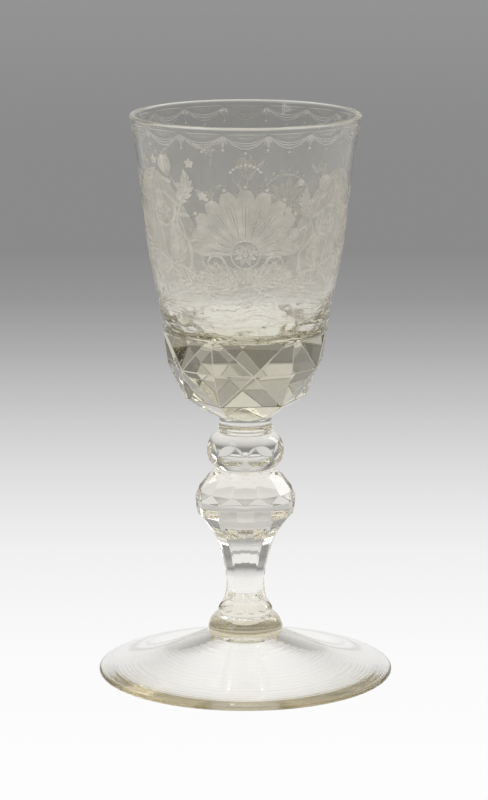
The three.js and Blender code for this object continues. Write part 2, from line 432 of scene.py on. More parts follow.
class Piece:
    """One gather of glass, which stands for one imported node."""

    def __init__(self, node: str, slot: Slot) -> None:
        """Reads where the node is.

        Args:
            node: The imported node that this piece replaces.
            slot: The record's slot for its finish.
        """
        self.node = node
        self.slot = slot
        low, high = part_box(node)
        self.low = low.z
        self.high = high.z
        self.ends = self.low + SEAT_GAP, self.high - SEAT_GAP

    def show(self, mesh: bpy.types.Mesh, material: bpy.types.Material, seats: Iterable[Seat]) -> None:
        """Puts a mesh in the scene in the node's place.

        Args:
            mesh: The finished mesh.
            material: Its finish.
            seats: Its fused faces.
        """
        mark_seats(mesh, seats)
        mesh.materials.clear()
        mesh.materials.append(material)
        piece = bpy.data.objects.new(self.node + "_glass", mesh)
        bpy.context.scene.collection.objects.link(piece)
        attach(piece, "root")
        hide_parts(self.node)
        LOG.info("%s: %d faces", piece.name, len(mesh.polygons))


class Side(Enum):
    """What a face of the bowl is, for its normals."""

    GLASS = 0
    ROUND_WALL = 1
    ENGRAVED = 2


def dress_normals(
    mesh: bpy.types.Mesh, kinds: Sequence[int], outward: Callable[[Vector], Vector] | None = None
) -> None:
    """Keeps large faces flat, round walls round and engraved cuts soft.

    Args:
        mesh: The mesh to shade.
        kinds: The value of Side for each face.
        outward: Gives the true direction of the round wall at a point.
    """
    mesh.shade_smooth()
    sums: dict[tuple[int, bool], Vector] = defaultdict(Vector)
    for polygon in mesh.polygons:
        cut = kinds[polygon.index] == Side.ENGRAVED.value
        share = polygon.normal * polygon.area
        for vertex in polygon.vertices:
            sums[(vertex, cut)] += share
    normals = []
    for polygon in mesh.polygons:
        kind = kinds[polygon.index]
        for vertex in polygon.vertices:
            if kind == Side.ROUND_WALL.value and outward:
                normals.append(outward(mesh.vertices[vertex].co))
            else:
                normals.append(sums[(vertex, kind == Side.ENGRAVED.value)].normalized())
    mesh.normals_split_custom_set(normals)


@dataclass(frozen=True)
class Ring:
    """One ring of a blank: round, or a polygon with a corner at the front."""

    radius: float
    height: float
    zone: int = 0
    corners: int = 0

    def point(self, azimuth: float) -> Vector:
        """Gives the ring's point at an azimuth.

        Args:
            azimuth: The azimuth in radians.

        Returns:
            The point.
        """
        if not self.corners:
            return around(azimuth, self.radius, self.height)
        half = math.pi / self.corners
        reach = self.radius * math.cos(half) / math.cos(azimuth % (2 * half) - half)
        return around(azimuth, reach, self.height)


class Blank:
    """A turned solid that can be ground. Each flat remembers its own number.

    WELD and COLLAPSE are shares of an edge's width: what lies nearer than that becomes one.
    """

    FIRST_FLAT = 100000
    ZONE = 100
    WELD = 0.4
    COLLAPSE = 0.2

    def __init__(self, rings: Sequence[Ring], sides: int) -> None:
        """Turns the first rings.

        Args:
            rings: The rings in order along the outline.
            sides: The number of sides round the axis.
        """
        self.mesh = bmesh.new()
        self.number = self.mesh.faces.layers.int.new("flat")
        # Worn edges: matt lines that are partly wear and partly painted highlights.
        self.worn_and_highlit = self.mesh.faces.layers.float.new("edge")
        # Where the wall gets the veil that paints a reflection of the front light.
        self.veil = self.mesh.faces.layers.float.new("veil")
        self.flats = 0
        self.sides = sides
        self.turn(rings)

    def turn(self, rings: Sequence[Ring]) -> None:
        """Adds a turned surface.

        Args:
            rings: The rings in order along the outline.
        """
        made: list[list[bmesh.types.BMVert]] = []
        for ring in rings:
            count = self.sides if ring.radius > TINY else 1
            made.append([self.mesh.verts.new(ring.point(math.tau * k / self.sides)) for k in range(count)])
        for lower, upper, below, above in zip(rings, rings[1:], made, made[1:]):
            for k in range(self.sides):
                corners = [below[k % len(below)], below[(k + 1) % len(below)]]
                corners += [above[(k + 1) % len(above)], above[k % len(above)]]
                unique = list(dict.fromkeys(corners))
                if len(unique) > 2:
                    face = self.mesh.faces.new(unique)
                    face[self.number] = lower.zone * self.ZONE
                    if lower.corners and upper.corners:
                        face[self.number] += 1 + k * lower.corners // self.sides

    def grind(self, flats: Flats) -> None:
        """Cuts a ring of flats.

        Args:
            flats: Where they lie.
        """
        for k in range(flats.count):
            outward = around(flats.phase + math.tau * k / flats.count, 1.0, 0.0)
            cut = bmesh.ops.bisect_plane(
                self.mesh,
                geom=[*self.mesh.verts, *self.mesh.edges, *self.mesh.faces],
                dist=CLOSE,
                plane_co=outward * flats.radius + Vector((0.0, 0.0, flats.height)),
                plane_no=Vector((outward.x, outward.y, -flats.slope)).normalized(),
                clear_outer=True,
            )["geom_cut"]
            edges = [e for e in cut if isinstance(e, bmesh.types.BMEdge) and e.is_boundary]
            if edges:
                self.flats += 1
                for face in bmesh.ops.holes_fill(self.mesh, edges=edges, sides=0)["faces"]:
                    face[self.number] = self.FIRST_FLAT + self.flats

    def hang(self, zone: int, rings: Sequence[Ring]) -> None:
        """Opens the flat lid of a zone and joins its edge to the first of more rings.

        Args:
            zone: The zone of the lid.
            rings: The rings that go on from it, the first as a ledge round the lid.
        """
        lid = [f for f in self.mesh.faces if f[self.number] == zone * self.ZONE]
        bmesh.ops.delete(self.mesh, geom=lid, context="FACES")
        inner = self.open_edge()
        known = set(self.mesh.verts)
        self.turn(rings)
        first = rings[0]
        outer = [v for v in self.mesh.verts if v not in known and abs(v.co.z - first.height) < CLOSE]
        outer = sorted((v for v in outer if abs(v.co.xy.length - first.radius) < NEAR), key=self.azimuth)
        i = j = 0
        while i < len(inner) or j < len(outer):
            a, b = inner[i % len(inner)], outer[j % len(outer)]
            next_a = self.azimuth(inner[i]) if i < len(inner) else math.inf
            next_b = self.azimuth(outer[j]) if j < len(outer) else math.inf
            if next_a < next_b:
                i += 1
                corners = (a, b, inner[i % len(inner)])
            else:
                j += 1
                corners = (a, b, outer[j % len(outer)])
            face = self.mesh.faces.new(corners)
            face[self.number] = zone * self.ZONE

    def open_edge(self) -> list[bmesh.types.BMVert]:
        """Follows the solid's one open edge, from behind and towards +X.

        Returns:
            The points in order.
        """
        links: dict[bmesh.types.BMVert, list[bmesh.types.BMVert]] = defaultdict(list)
        for edge in self.mesh.edges:
            if edge.is_boundary:
                first, second = edge.verts
                links[first].append(second)
                links[second].append(first)
        start = min(links, key=self.azimuth)
        loop = [start, min(links[start], key=self.azimuth)]
        while True:
            following = next(v for v in links[loop[-1]] if v is not loop[-2])
            if following is start:
                return loop
            loop.append(following)

    @staticmethod
    def azimuth(vert: bmesh.types.BMVert) -> float:
        """Gives a point's azimuth."""
        return math.atan2(vert.co.x, -vert.co.y)

    def soften(self, width: float) -> None:
        """Polishes the edges of the flats and marks them worn, which also paints highlight lines along
        them.

        Args:
            width: How wide each rounded edge is.
        """
        bmesh.ops.remove_doubles(self.mesh, verts=self.mesh.verts, dist=width * self.WELD)
        bmesh.ops.dissolve_degenerate(self.mesh, edges=self.mesh.edges, dist=width * self.COLLAPSE)
        bmesh.ops.recalc_face_normals(self.mesh, faces=self.mesh.faces)
        edges = []
        for edge in self.mesh.edges:
            if len(edge.link_faces) == 2:
                first, second = edge.link_faces
                if first[self.number] != second[self.number]:
                    edges.append(edge)
        made = bmesh.ops.bevel(
            self.mesh,
            geom=edges,
            offset=width,
            offset_type="OFFSET",
            segments=3,
            profile=0.5,
            affect="EDGES",
            clamp_overlap=False,
        )
        # The rounded edges turn matt: a little real wear, and painted highlight lines where light would
        # catch them.
        for face in made["faces"]:
            face[self.worn_and_highlit] = 1.0

    def finish(self, name: str) -> bpy.types.Mesh:
        """Gives the solid as a mesh with true flats.

        Args:
            name: The mesh's name.

        Returns:
            The mesh, shaded smooth with its flats kept flat.
        """
        face_outward(self.mesh)
        mesh = bpy.data.meshes.new(name)
        self.mesh.to_mesh(mesh)
        self.mesh.free()
        dress_normals(mesh, [Side.GLASS.value] * len(mesh.polygons))
        return mesh


def from_modifiers(bench: bpy.types.Object) -> bpy.types.Mesh:
    """Gives a plain mesh of an object with its modifiers applied."""
    graph = bpy.context.evaluated_depsgraph_get()
    return bpy.data.meshes.new_from_object(bench.evaluated_get(graph), depsgraph=graph)


class NodeTree:
    """A Geometry Nodes tree with named inputs."""

    def __init__(self, name: str, inputs: dict[str, tuple[str, Any]]) -> None:
        """Starts the tree.

        Args:
            name: The tree's name.
            inputs: For each input its socket type and its default, or None.
        """
        self.tree = bpy.data.node_groups.new(name, "GeometryNodeTree")
        self.ids: dict[str, str] = {}
        for label, (kind, default) in inputs.items():
            item = self.tree.interface.new_socket(label, in_out="INPUT", socket_type=kind)
            if default is not None:
                item.default_value = default
            self.ids[label] = item.identifier
        self.tree.interface.new_socket("Geometry", in_out="OUTPUT", socket_type="NodeSocketGeometry")
        self.given = self.tree.nodes.new("NodeGroupInput")

    def add(
        self,
        kind: str,
        settings: dict[str, Any] | None = None,
        sockets: dict[int | str, Any] | None = None,
    ) -> bpy.types.Node:
        """Adds a node.

        Args:
            kind: The node's type.
            settings: Its properties.
            sockets: Its inputs, as values, as output sockets or as nodes for their first output.

        Returns:
            The node.
        """
        node = self.tree.nodes.new(kind)
        for key, value in (settings or {}).items():
            setattr(node, key, value)
        for key, value in (sockets or {}).items():
            if isinstance(value, bpy.types.Node):
                value = value.outputs[0]
            if isinstance(value, bpy.types.NodeSocket):
                self.tree.links.new(value, node.inputs[key])
            else:
                node.inputs[key].default_value = value
        return node

    def math(self, operation: str, *values: Any) -> bpy.types.Node:
        """Adds a Math node."""
        return self.add("ShaderNodeMath", {"operation": operation}, dict(enumerate(values)))

    def close(self, geometry: Any) -> None:
        """Ends the tree in real geometry with its material.

        Args:
            geometry: What the tree has made.
        """
        real = self.add("GeometryNodeRealizeInstances", None, {0: geometry})
        dressed = self.add(
            "GeometryNodeSetMaterial", None, {"Geometry": real, "Material": self.given.outputs["Material"]}
        )
        self.add("NodeGroupOutput", None, {0: dressed})

    def run(self, base: bpy.types.Mesh, values: dict[str, Any]) -> bpy.types.Mesh:
        """Runs the tree on a mesh.

        Args:
            base: The mesh that goes in.
            values: The named inputs.

        Returns:
            The plain mesh that comes out.
        """
        bench = bpy.data.objects.new("bench", base)
        bpy.context.scene.collection.objects.link(bench)
        modifier = bench.modifiers.new("tree", "NODES")
        modifier.node_group = self.tree
        for label, value in values.items():
            modifier[self.ids[label]] = value
        made = from_modifiers(bench)
        bpy.data.objects.remove(bench)
        return made


class Lathe(NodeTree):
    """Turns the outline that goes in about Z."""

    SHARP = math.radians(38)

    def __init__(self) -> None:
        """Builds the tree: a grid whose rows take their radius and height from the outline."""
        super().__init__(
            "lathe",
            {
                "Outline": ("NodeSocketGeometry", None),
                "Points": ("NodeSocketInt", 8),
                "Sides": ("NodeSocketInt", 96),
                "Material": ("NodeSocketMaterial", None),
            },
        )
        given = self.given.outputs
        rows = self.math("SUBTRACT", given["Points"], 1.0)
        grid = self.add(
            "GeometryNodeMeshGrid",
            None,
            {"Vertices X": given["Points"], "Vertices Y": self.math("ADD", given["Sides"], 1.0)},
        )
        parts = self.add("ShaderNodeSeparateXYZ", None, {0: self.add("GeometryNodeInputPosition")})
        row = self.math("ROUND", self.math("MULTIPLY", self.math("ADD", parts.outputs[0], 0.5), rows))
        turn = self.math("MULTIPLY", self.math("ADD", parts.outputs[1], 0.5), -math.tau)
        point = self.add(
            "GeometryNodeSampleIndex",
            {"data_type": "FLOAT_VECTOR"},
            {"Geometry": given["Outline"], "Value": self.add("GeometryNodeInputPosition"), "Index": row},
        )
        spin = {"Vector": point, "Angle": turn}
        spun = self.add("ShaderNodeVectorRotate", {"rotation_type": "Z_AXIS"}, spin)
        turned = self.add("GeometryNodeSetPosition", None, {"Geometry": grid, "Position": spun})
        closed = self.add("GeometryNodeMergeByDistance", None, {"Geometry": turned, "Distance": NEAR})
        self.close(closed)

    def turn(self, name: str, outline: Path, sides: int, material: bpy.types.Material) -> bpy.types.Mesh:
        """Turns an outline.

        Args:
            name: The mesh's name.
            outline: Radius and height of each point, from the axis to the axis.
            sides: The number of sides round the axis.
            material: The finish.

        Returns:
            A closed mesh, shaded smooth except at its sharp edges.
        """
        line = bpy.data.meshes.new(name + " outline")
        line.from_pydata(
            [(radius, 0.0, height) for radius, height in outline],
            [(i, i + 1) for i in range(len(outline) - 1)],
            [],
        )
        made = self.run(line, {"Points": len(outline), "Sides": sides, "Material": material})
        made.name = name
        solid = bmesh.new()
        solid.from_mesh(made)
        face_outward(solid)
        solid.to_mesh(made)
        solid.free()
        made.shade_smooth()
        made.set_sharp_from_angle(angle=self.SHARP)
        return made


@dataclass
class Foot:
    """The wide foot: a hollow cone that flares out to a thin edge, under a round post."""

    edge: float = 1.5 * MM
    rest: float = 5.2 * MM
    flare: float = 1.5
    post_radius: float = 9.7 * MM
    post_swell: float = 13.4 * MM
    post_foot: float = 14.3 * MM
    scar_radius: float = 8.5 * MM
    scar_height: float = 10.4 * MM
    scar_lip: float = 1.2 * MM
    scar_rough: float = 1.5 * MM
    scar_scale: float = 210.0
    scar_noise: tuple[float, float, int] = (0.8, 2.1, 4)
    knop_seat: float = 9.2 * MM
    sides: int = 200
    scar_steps: int = 24
    under_steps: int = 40
    edge_steps: int = 12
    top_steps: int = 48
    boss_steps: int = 24

    def cone(self, start: Point, end: Point, steps: int) -> Path:
        """Draws the flare from its top inner end to its low outer end.

        Args:
            start: Radius and height of the top end.
            end: Radius and height of the low end.
            steps: How many steps it has.

        Returns:
            The points, both ends among them.
        """
        made = []
        for step in range(steps + 1):
            part = step / steps
            height = end[1] + (start[1] - end[1]) * (1 - part) ** self.flare
            made.append((start[0] + (end[0] - start[0]) * part, height))
        return made

    def outline(self, low: float, high: float, radius: float) -> Path:
        """Draws the half section.

        Args:
            low: The height of the surface that the foot stands on.
            high: The height of the post's top.
            radius: The foot's radius.

        Returns:
            The points from the axis below to the axis above.
        """
        post = high - low
        half = self.edge / 2
        rim = radius - half
        count = self.scar_steps
        scar = [(self.scar_radius * k / count, self.scar_height) for k in range(count + 1)]
        start = (self.scar_radius + self.scar_lip, self.scar_height)
        under = self.cone(start, (rim - self.rest, 0.0), self.under_steps)
        turns = [math.pi * i / self.edge_steps for i in range(self.edge_steps + 1)]
        arc = [(rim + half * math.sin(turn), half - half * math.cos(turn)) for turn in turns]
        top = self.cone((self.post_swell, self.post_foot), (rim, self.edge), self.top_steps)[::-1]
        boss = smooth(
            [
                (self.post_swell, self.post_foot),
                (self.post_swell - 0.25 * MM, self.post_foot + 2.5 * MM),
                (self.post_swell - 1.2 * MM, self.post_foot + 4.7 * MM),
                (self.post_radius + 1.1 * MM, post - 0.4 * MM),
                (self.post_radius, post),
            ],
            self.boss_steps,
        )
        seat = [(self.knop_seat * k / 3, post) for k in (3, 2, 1, 0)]
        points = [*scar, *under, *arc, *top[1:], *boss[1:], *seat]
        return [(r, low + h) for r, h in points]

    def build(self, lathe: Lathe, material: bpy.types.Material) -> None:
        """Makes the foot.

        Args:
            lathe: The tree that turns it.
            material: Its finish.
        """
        piece = Piece("foot", Slot.FOOT)
        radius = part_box("foot")[1].x
        top = piece.high - SEAT_GAP
        mesh = lathe.turn("foot", self.outline(piece.low, top, radius), self.sides, material)
        for vertex in mesh.vertices:
            reach = vertex.co.xy.length
            if reach < self.scar_radius and vertex.co.z < piece.low + self.scar_height + MM:
                fade = 1 - (reach / self.scar_radius) ** 4
                rough = noise.fractal(vertex.co * self.scar_scale, *self.scar_noise)
                vertex.co.z += self.scar_rough * rough * fade
        piece.show(mesh, material, [Seat(top, self.knop_seat)])


@dataclass
class StemPart:
    """What the cut and turned parts of the stem share."""

    sides: int = 96
    softness: float = 0.16 * MM


@dataclass
class BaseKnop(StemPart):
    """The small knop on the post: round below, cut in above."""

    radius: float = 9.6 * MM
    base_radius: float = 9.2 * MM
    band: float = 2.0 * MM
    shaft_radius: float = 7.5 * MM
    flats: int = 12
    steps: int = 18

    def build(self, material: bpy.types.Material) -> None:
        """Makes the base knop.

        Args:
            material: Its finish.
        """
        piece = Piece("base_knop", Slot.STEM)
        low, high = piece.ends
        curve = smooth(
            [
                (self.base_radius, low),
                (self.radius - 0.05 * MM, low + 0.5 * MM),
                (self.radius, low + 1.2 * MM),
                (self.radius - 0.04 * MM, low + self.band),
                (self.radius - 0.5 * MM, low + self.band + 1.0 * MM),
                ((self.radius + self.shaft_radius) / 2, high - 0.9 * MM),
                (self.shaft_radius, high),
            ],
            self.steps,
        )
        rings = [Ring(0.0, low, 1), *[Ring(r, h, 2) for r, h in curve[:-1]]]
        rings += [Ring(curve[-1][0], high, 3), Ring(0.0, high, 3)]
        blank = Blank(rings, self.sides)
        half = math.pi / self.flats
        lean = -(self.radius - self.shaft_radius) / (high - low - self.band)
        blank.grind(Flats(self.flats, self.shaft_radius * math.cos(half), high, lean, half))
        blank.soften(self.softness)
        seats = [Seat(low, self.base_radius), Seat(high, self.shaft_radius)]
        piece.show(blank.finish("base knop"), material, seats)


@dataclass
class Baluster(StemPart):
    """The inverted baluster: flutes, a band, a cut shoulder and a round top."""

    shaft: float = 31.1 * MM
    foot_radius: float = 7.5 * MM
    waist_radius: float = 6.9 * MM
    band: float = 5.5 * MM
    band_radius: float = 17.75 * MM
    taper: float = 0.55 * MM
    taper_share: float = 0.8
    round_over: float = 1.0 * MM
    low_cut: float = 0.8 * MM
    low_slope: float = -0.54
    high_cut: float = 0.44
    high_inset: float = 2.5 * MM
    high_slope: float = -0.74
    top_radius: float = 10.4 * MM
    seat_radius: float = 8.0 * MM
    flats: int = 12
    flute_steps: int = 44
    top_steps: int = 30

    def build(self, material: bpy.types.Material) -> None:
        """Makes the baluster.

        Args:
            material: Its finish.
        """
        piece = Piece("baluster", Slot.STEM)
        low, high = piece.ends
        belly = self.band_radius - self.taper
        swell = belly - self.waist_radius
        flutes = smooth(
            [
                (self.foot_radius, low),
                (self.waist_radius, low + self.shaft * 0.1),
                (self.waist_radius, low + self.shaft * 0.26),
                (self.waist_radius + swell * 0.11, low + self.shaft * 0.46),
                (self.waist_radius + swell * 0.35, low + self.shaft * 0.7),
                (self.waist_radius + swell * 0.77, low + self.shaft * 0.91),
                (belly, low + self.shaft),
            ],
            self.flute_steps,
        )
        base = low + self.shaft + self.band
        shoulder = high - base
        top = smooth(
            [
                (self.band_radius + self.round_over, base),
                (self.band_radius - 2.1 * MM, base + shoulder * 0.5),
                (self.top_radius + 3.15 * MM, high - 3.2 * MM),
                (self.top_radius + 0.99 * MM, high - 1.1 * MM),
                (self.top_radius + 0.55 * MM, high - 0.33 * MM),
                (self.top_radius, high),
            ],
            self.top_steps,
        )
        gon = self.flats
        rings = [Ring(0.0, low, 1), *[Ring(r, h, 2, gon) for r, h in flutes[:-1]]]
        rings += [Ring(belly, low + self.shaft, 3, gon), Ring(self.band_radius, base, 4, gon)]
        rings += [Ring(r, h, 5) for r, h in top[:-1]]
        rings += [Ring(self.top_radius, high, 6), Ring(self.seat_radius, high, 6), Ring(0.0, high, 6)]
        blank = Blank(rings, self.sides)
        half = math.pi / gon
        apothem = self.band_radius * math.cos(half)
        taper = -2 * self.taper * math.cos(half) / shoulder * self.taper_share
        blank.grind(Flats(gon, apothem - 0.01 * MM, base, taper, half))
        blank.grind(Flats(gon, self.band_radius, base + self.low_cut, self.low_slope))
        level = base + shoulder * self.high_cut
        blank.grind(Flats(gon, self.band_radius - self.high_inset, level, self.high_slope))
        blank.soften(self.softness)
        seats = [Seat(low, self.foot_radius), Seat(high, self.seat_radius)]
        piece.show(blank.finish("baluster"), material, seats)


@dataclass
class Knop(StemPart):
    """The round knop under the bowl, with eight flats."""

    radius: float = 13.6 * MM
    seat_radius: float = 8.0 * MM
    top_radius: float = 9.8 * MM
    top_seat: float = 9.65 * MM
    flat: float = 12.7 * MM
    flats: int = 8
    steps: int = 44

    def build(self, material: bpy.types.Material) -> None:
        """Makes the knop.

        Args:
            material: Its finish.
        """
        piece = Piece("upper_knop", Slot.STEM)
        low, high = piece.ends
        tall = high - low
        curve = smooth(
            [
                (self.seat_radius, low),
                (self.radius - 3.1 * MM, low + tall * 0.03),
                (self.radius - 1.7 * MM, low + tall * 0.12),
                (self.radius - 0.4 * MM, low + tall * 0.28),
                (self.radius, low + tall * 0.48),
                (self.radius - 0.6 * MM, low + tall * 0.72),
                (self.radius - 2.3 * MM, low + tall * 0.91),
                (self.top_radius, high),
            ],
            self.steps,
        )
        rings = [Ring(0.0, low, 1), *[Ring(r, h, 2) for r, h in curve[:-1]]]
        rings += [Ring(self.top_radius, high, 3), Ring(self.top_seat, high, 3), Ring(0.0, high, 3)]
        blank = Blank(rings, self.sides)
        blank.grind(Flats(self.flats, self.flat, low + tall / 2, 0.0, math.pi / self.flats))
        blank.soften(self.softness)
        seats = [Seat(low, self.seat_radius), Seat(high, self.top_seat)]
        piece.show(blank.finish("knop"), material, seats)


@dataclass
class Disc(StemPart):
    """A turned disc between the knop and the bowl."""

    node: str = "merese"
    shape: Bands = ()
    top_seat: float = 9.5 * MM
    steps: int = 24

    def build(self, lathe: Lathe, material: bpy.types.Material) -> None:
        """Makes the disc.

        Args:
            lathe: The tree that turns it.
            material: Its finish.
        """
        piece = Piece(self.node, Slot.STEM)
        low, high = piece.ends
        curve = smooth([(r, low + (high - low) * h) for r, h in self.shape], self.steps)
        outline = [(0.0, low), *curve, (self.top_seat, high), (0.0, high)]
        mesh = lathe.turn(self.node, outline, self.sides, material)
        piece.show(mesh, material, [Seat(low, curve[0][0]), Seat(high, self.top_seat)])


class Tone(Enum):
    """How matt a cut is."""

    CLEAR = 0.0
    FAINT = 0.35
    SOFT = 0.6
    MATT = 0.85
    WHITE = 1.0


SEAM = 1e-4
SLIVER = 1e-3


@dataclass
class Cut:
    """One engraved shape on the unrolled wall. Lengths are millimetres: along the wall and up.

    BANK is how much deeper the shape gets for each millimetre inwards.
    """

    BANK = 0.35
    outline: Path
    tone: Tone
    depth: float
    ridge: Path = field(default_factory=list)

    def moved(self, along: float) -> "Cut":
        """Gives the same shape further along the wall.

        Args:
            along: How far it moves.

        Returns:
            The moved shape.
        """
        return Cut(
            [(u + along, v) for u, v in self.outline],
            self.tone,
            self.depth,
            [(u + along, v) for u, v in self.ridge],
        )

    def clipped(self, limit: float) -> "Cut":
        """Gives the part of the shape between the limits on both sides.

        Args:
            limit: The distance of both limits from the middle.

        Returns:
            The part.
        """
        outline = self.outline
        for sign in (1.0, -1.0):
            kept: Path = []
            for a, b in zip(outline, outline[1:] + outline[:1]):
                inside_a, inside_b = sign * a[0] <= limit, sign * b[0] <= limit
                if inside_a:
                    kept.append(a)
                if inside_a != inside_b:
                    part = (sign * limit - a[0]) / (b[0] - a[0])
                    kept.append((sign * limit, a[1] + (b[1] - a[1]) * part))
            outline = kept
        ridge = [p for p in self.ridge if abs(p[0]) < limit - SEAM]
        return Cut(outline, self.tone, self.depth, ridge if len(ridge) == len(self.ridge) else [])

    def box(self) -> tuple[float, float, float, float]:
        """Gives the limits: left, right, low and high."""
        along, up = zip(*self.outline)
        return min(along), max(along), min(up), max(up)

    def area(self) -> float:
        """Gives the signed area, positive where the outline runs anticlockwise."""
        pairs = zip(self.outline, self.outline[1:] + self.outline[:1])
        return sum(a[0] * b[1] - b[0] * a[1] for a, b in pairs) / 2

    def depth_at(self, point: Point) -> float | None:
        """Gives the depth at a point.

        Args:
            point: A point of the unrolled wall.

        Returns:
            The depth, or None outside the shape.
        """
        u, v = point
        inside = False
        nearest = math.inf
        for (u0, v0), (u1, v1) in zip(self.outline, self.outline[1:] + self.outline[:1]):
            if (v0 > v) != (v1 > v) and u < u0 + (v - v0) * (u1 - u0) / (v1 - v0):
                inside = not inside
            du, dv = u1 - u0, v1 - v0
            part = max(0.0, min(1.0, ((u - u0) * du + (v - v0) * dv) / max(du * du + dv * dv, TINY)))
            nearest = min(nearest, math.hypot(u0 + du * part - u, v0 + dv * part - v))
        return min(self.depth, nearest * self.BANK) if inside else None


def polar(centre: Point, angle: float, reach: float) -> Point:
    """Gives the point at an angle in degrees, 0 to the right, and a distance from a centre."""
    turn = math.radians(angle)
    return centre[0] + reach * math.cos(turn), centre[1] + reach * math.sin(turn)


def whole(value: float, least: int, most: int) -> int:
    """Cuts a number down to a whole one within limits."""
    return max(least, min(most, int(value)))


def length(points: Path) -> float:
    """Gives the length of a line."""
    return sum(math.dist(a, b) for a, b in zip(points, points[1:]))


def height_on(line: Path, place: float) -> float:
    """Gives the height of a line at a place that counts its steps."""
    i = min(int(place), len(line) - 2)
    return line[i][1] + (line[i + 1][1] - line[i][1]) * (place - i)


class Engraver:
    """Draws the design with a few kinds of cut. Later cuts lie over earlier ones."""

    def __init__(self) -> None:
        """Starts with no cuts."""
        self.cuts: list[Cut] = []

    def band(self, spine: Path, halves: Sequence[float], tone: Tone, depth: float) -> None:
        """Cuts along a line.

        Args:
            spine: The line.
            halves: Half the width at each of its points.
            tone: How matt the cut is.
            depth: How deep its middle is.
        """
        left, right = [], []
        last = len(spine) - 1
        for i, ((u, v), half) in enumerate(zip(spine, halves)):
            (u0, v0), (u1, v1) = spine[max(i - 1, 0)], spine[min(i + 1, last)]
            long = max(math.hypot(u1 - u0, v1 - v0), TINY)
            side = (-(v1 - v0) / long * half, (u1 - u0) / long * half)
            left.append((u + side[0], v + side[1]))
            right.append((u - side[0], v - side[1]))
        self.cuts.append(Cut(right + left[::-1], tone, depth, list(spine[1:-1])))

    def stroke(self, points: Path, width: float, tone: Tone = Tone.WHITE, depth: float = 0.12) -> None:
        """Cuts a line that thins out to both ends.

        Args:
            points: The points that it passes through.
            width: Its greatest width.
            tone: How matt it is.
            depth: How deep its middle is.
        """
        steps = whole(length(points) / 0.9, 6, 60)
        spine = smooth(points, steps)
        halves = [width / 2 * max(0.22, math.sin(math.pi * i / steps)) ** 0.55 for i in range(steps + 1)]
        self.band(spine, halves, tone, depth)

    def stem(self, points: Path, width: float, tone: Tone = Tone.WHITE, depth: float = 0.16) -> None:
        """Cuts a line that starts thick and ends thin.

        Args:
            points: The points that it passes through.
            width: Its greatest width.
            tone: How matt it is.
            depth: How deep its middle is.
        """
        steps = whole(length(points) / 0.8, 6, 70)
        spine = smooth(points, steps)
        halves = [width / 2 * (1 - 0.82 * i / steps) for i in range(steps + 1)]
        self.band(spine, halves, tone, depth)

    def leaf(
        self,
        root: Point,
        angle: float,
        long: float,
        width: float,
        bend: float = 0.0,
        tone: Tone = Tone.MATT,
        vein: bool = True,
    ) -> Point:
        """Cuts a pointed leaf.

        Args:
            root: Where it starts.
            angle: Which way it starts, in degrees.
            long: Its length.
            width: Its greatest width.
            bend: How many degrees it turns on its way.
            tone: How matt it is.
            vein: Whether it has a clear midrib.

        Returns:
            Its tip.
        """
        steps = whole(long / 0.8, 7, 16)
        spine = [root]
        for i in range(steps):
            spine.append(polar(spine[-1], angle + bend * (i + 0.5) / steps, long / steps))
        halves = [
            max(0.05, width / 2 * math.sin(math.pi * (i / steps) ** 0.8) ** 0.85 if 0 < i < steps else 0.05)
            for i in range(steps + 1)
        ]
        self.band(spine, halves, tone, 0.2)
        if vein and width > 1.3:
            inner = spine[1:-2]
            thin = [0.11 * (1 - 0.6 * i / len(inner)) for i in range(len(inner))]
            self.band(inner, thin, Tone.FAINT, 0.24)
        return spine[-1]

    def disc(self, centre: Point, radius: float, tone: Tone = Tone.WHITE, depth: float = 0.2) -> None:
        """Cuts a round hollow.

        Args:
            centre: Its middle.
            radius: Its radius.
            tone: How matt it is.
            depth: How deep its middle is.
        """
        count = whole(radius * 10, 10, 28)
        outline = [polar(centre, 360 * k / count + 7, radius) for k in range(count)]
        self.cuts.append(Cut(outline, tone, depth, [centre]))

    def ring(self, centre: Point, radius: float, width: float) -> None:
        """Cuts a ring as two half lines.

        Args:
            centre: Its middle.
            radius: Its radius.
            width: The line's width.
        """
        for start in (0.0, 180.0):
            spine = [polar(centre, start + 180 * i / 16, radius) for i in range(17)]
            self.band(spine, [width / 2] * len(spine), Tone.WHITE, 0.1)

    def spiral(
        self, centre: Point, radius: float, start: float, turns: float, hand: int, width: float
    ) -> None:
        """Cuts a line that curls in to a bud.

        Args:
            centre: The middle of the curl.
            radius: Where it starts.
            start: The angle at which it starts, in degrees.
            turns: How far it goes round.
            hand: 1 for anticlockwise, -1 for clockwise.
            width: The width at its start.
        """
        steps = int(26 * turns)
        path = []
        for i in range(steps + 1):
            part = i / steps
            path.append(polar(centre, start + hand * 360 * turns * part, radius * (1 - part * 0.8)))
        halves = [width / 2 * (1 - 0.55 * i / steps) for i in range(steps + 1)]
        self.band(path, halves, Tone.WHITE, 0.16)
        self.disc(polar(centre, start + hand * 360 * turns, radius * 0.1), radius * 0.16)

    def blossom(self, centre: Point, radius: float, petals: int, turn: float = 0.0) -> None:
        """Cuts an open flower.

        Args:
            centre: Its middle.
            radius: Its radius.
            petals: How many petals it has.
            turn: The angle of the first petal, in degrees.
        """
        wide = 2 * math.pi * radius * 0.55 / petals
        for k in range(petals):
            angle = turn + 360 * k / petals
            self.leaf(polar(centre, angle, radius * 0.2), angle, radius * 0.8, wide, 0.0, Tone.MATT)
        self.disc(centre, radius * 0.3, Tone.CLEAR, 0.0)
        self.disc(centre, radius * 0.24, Tone.WHITE)

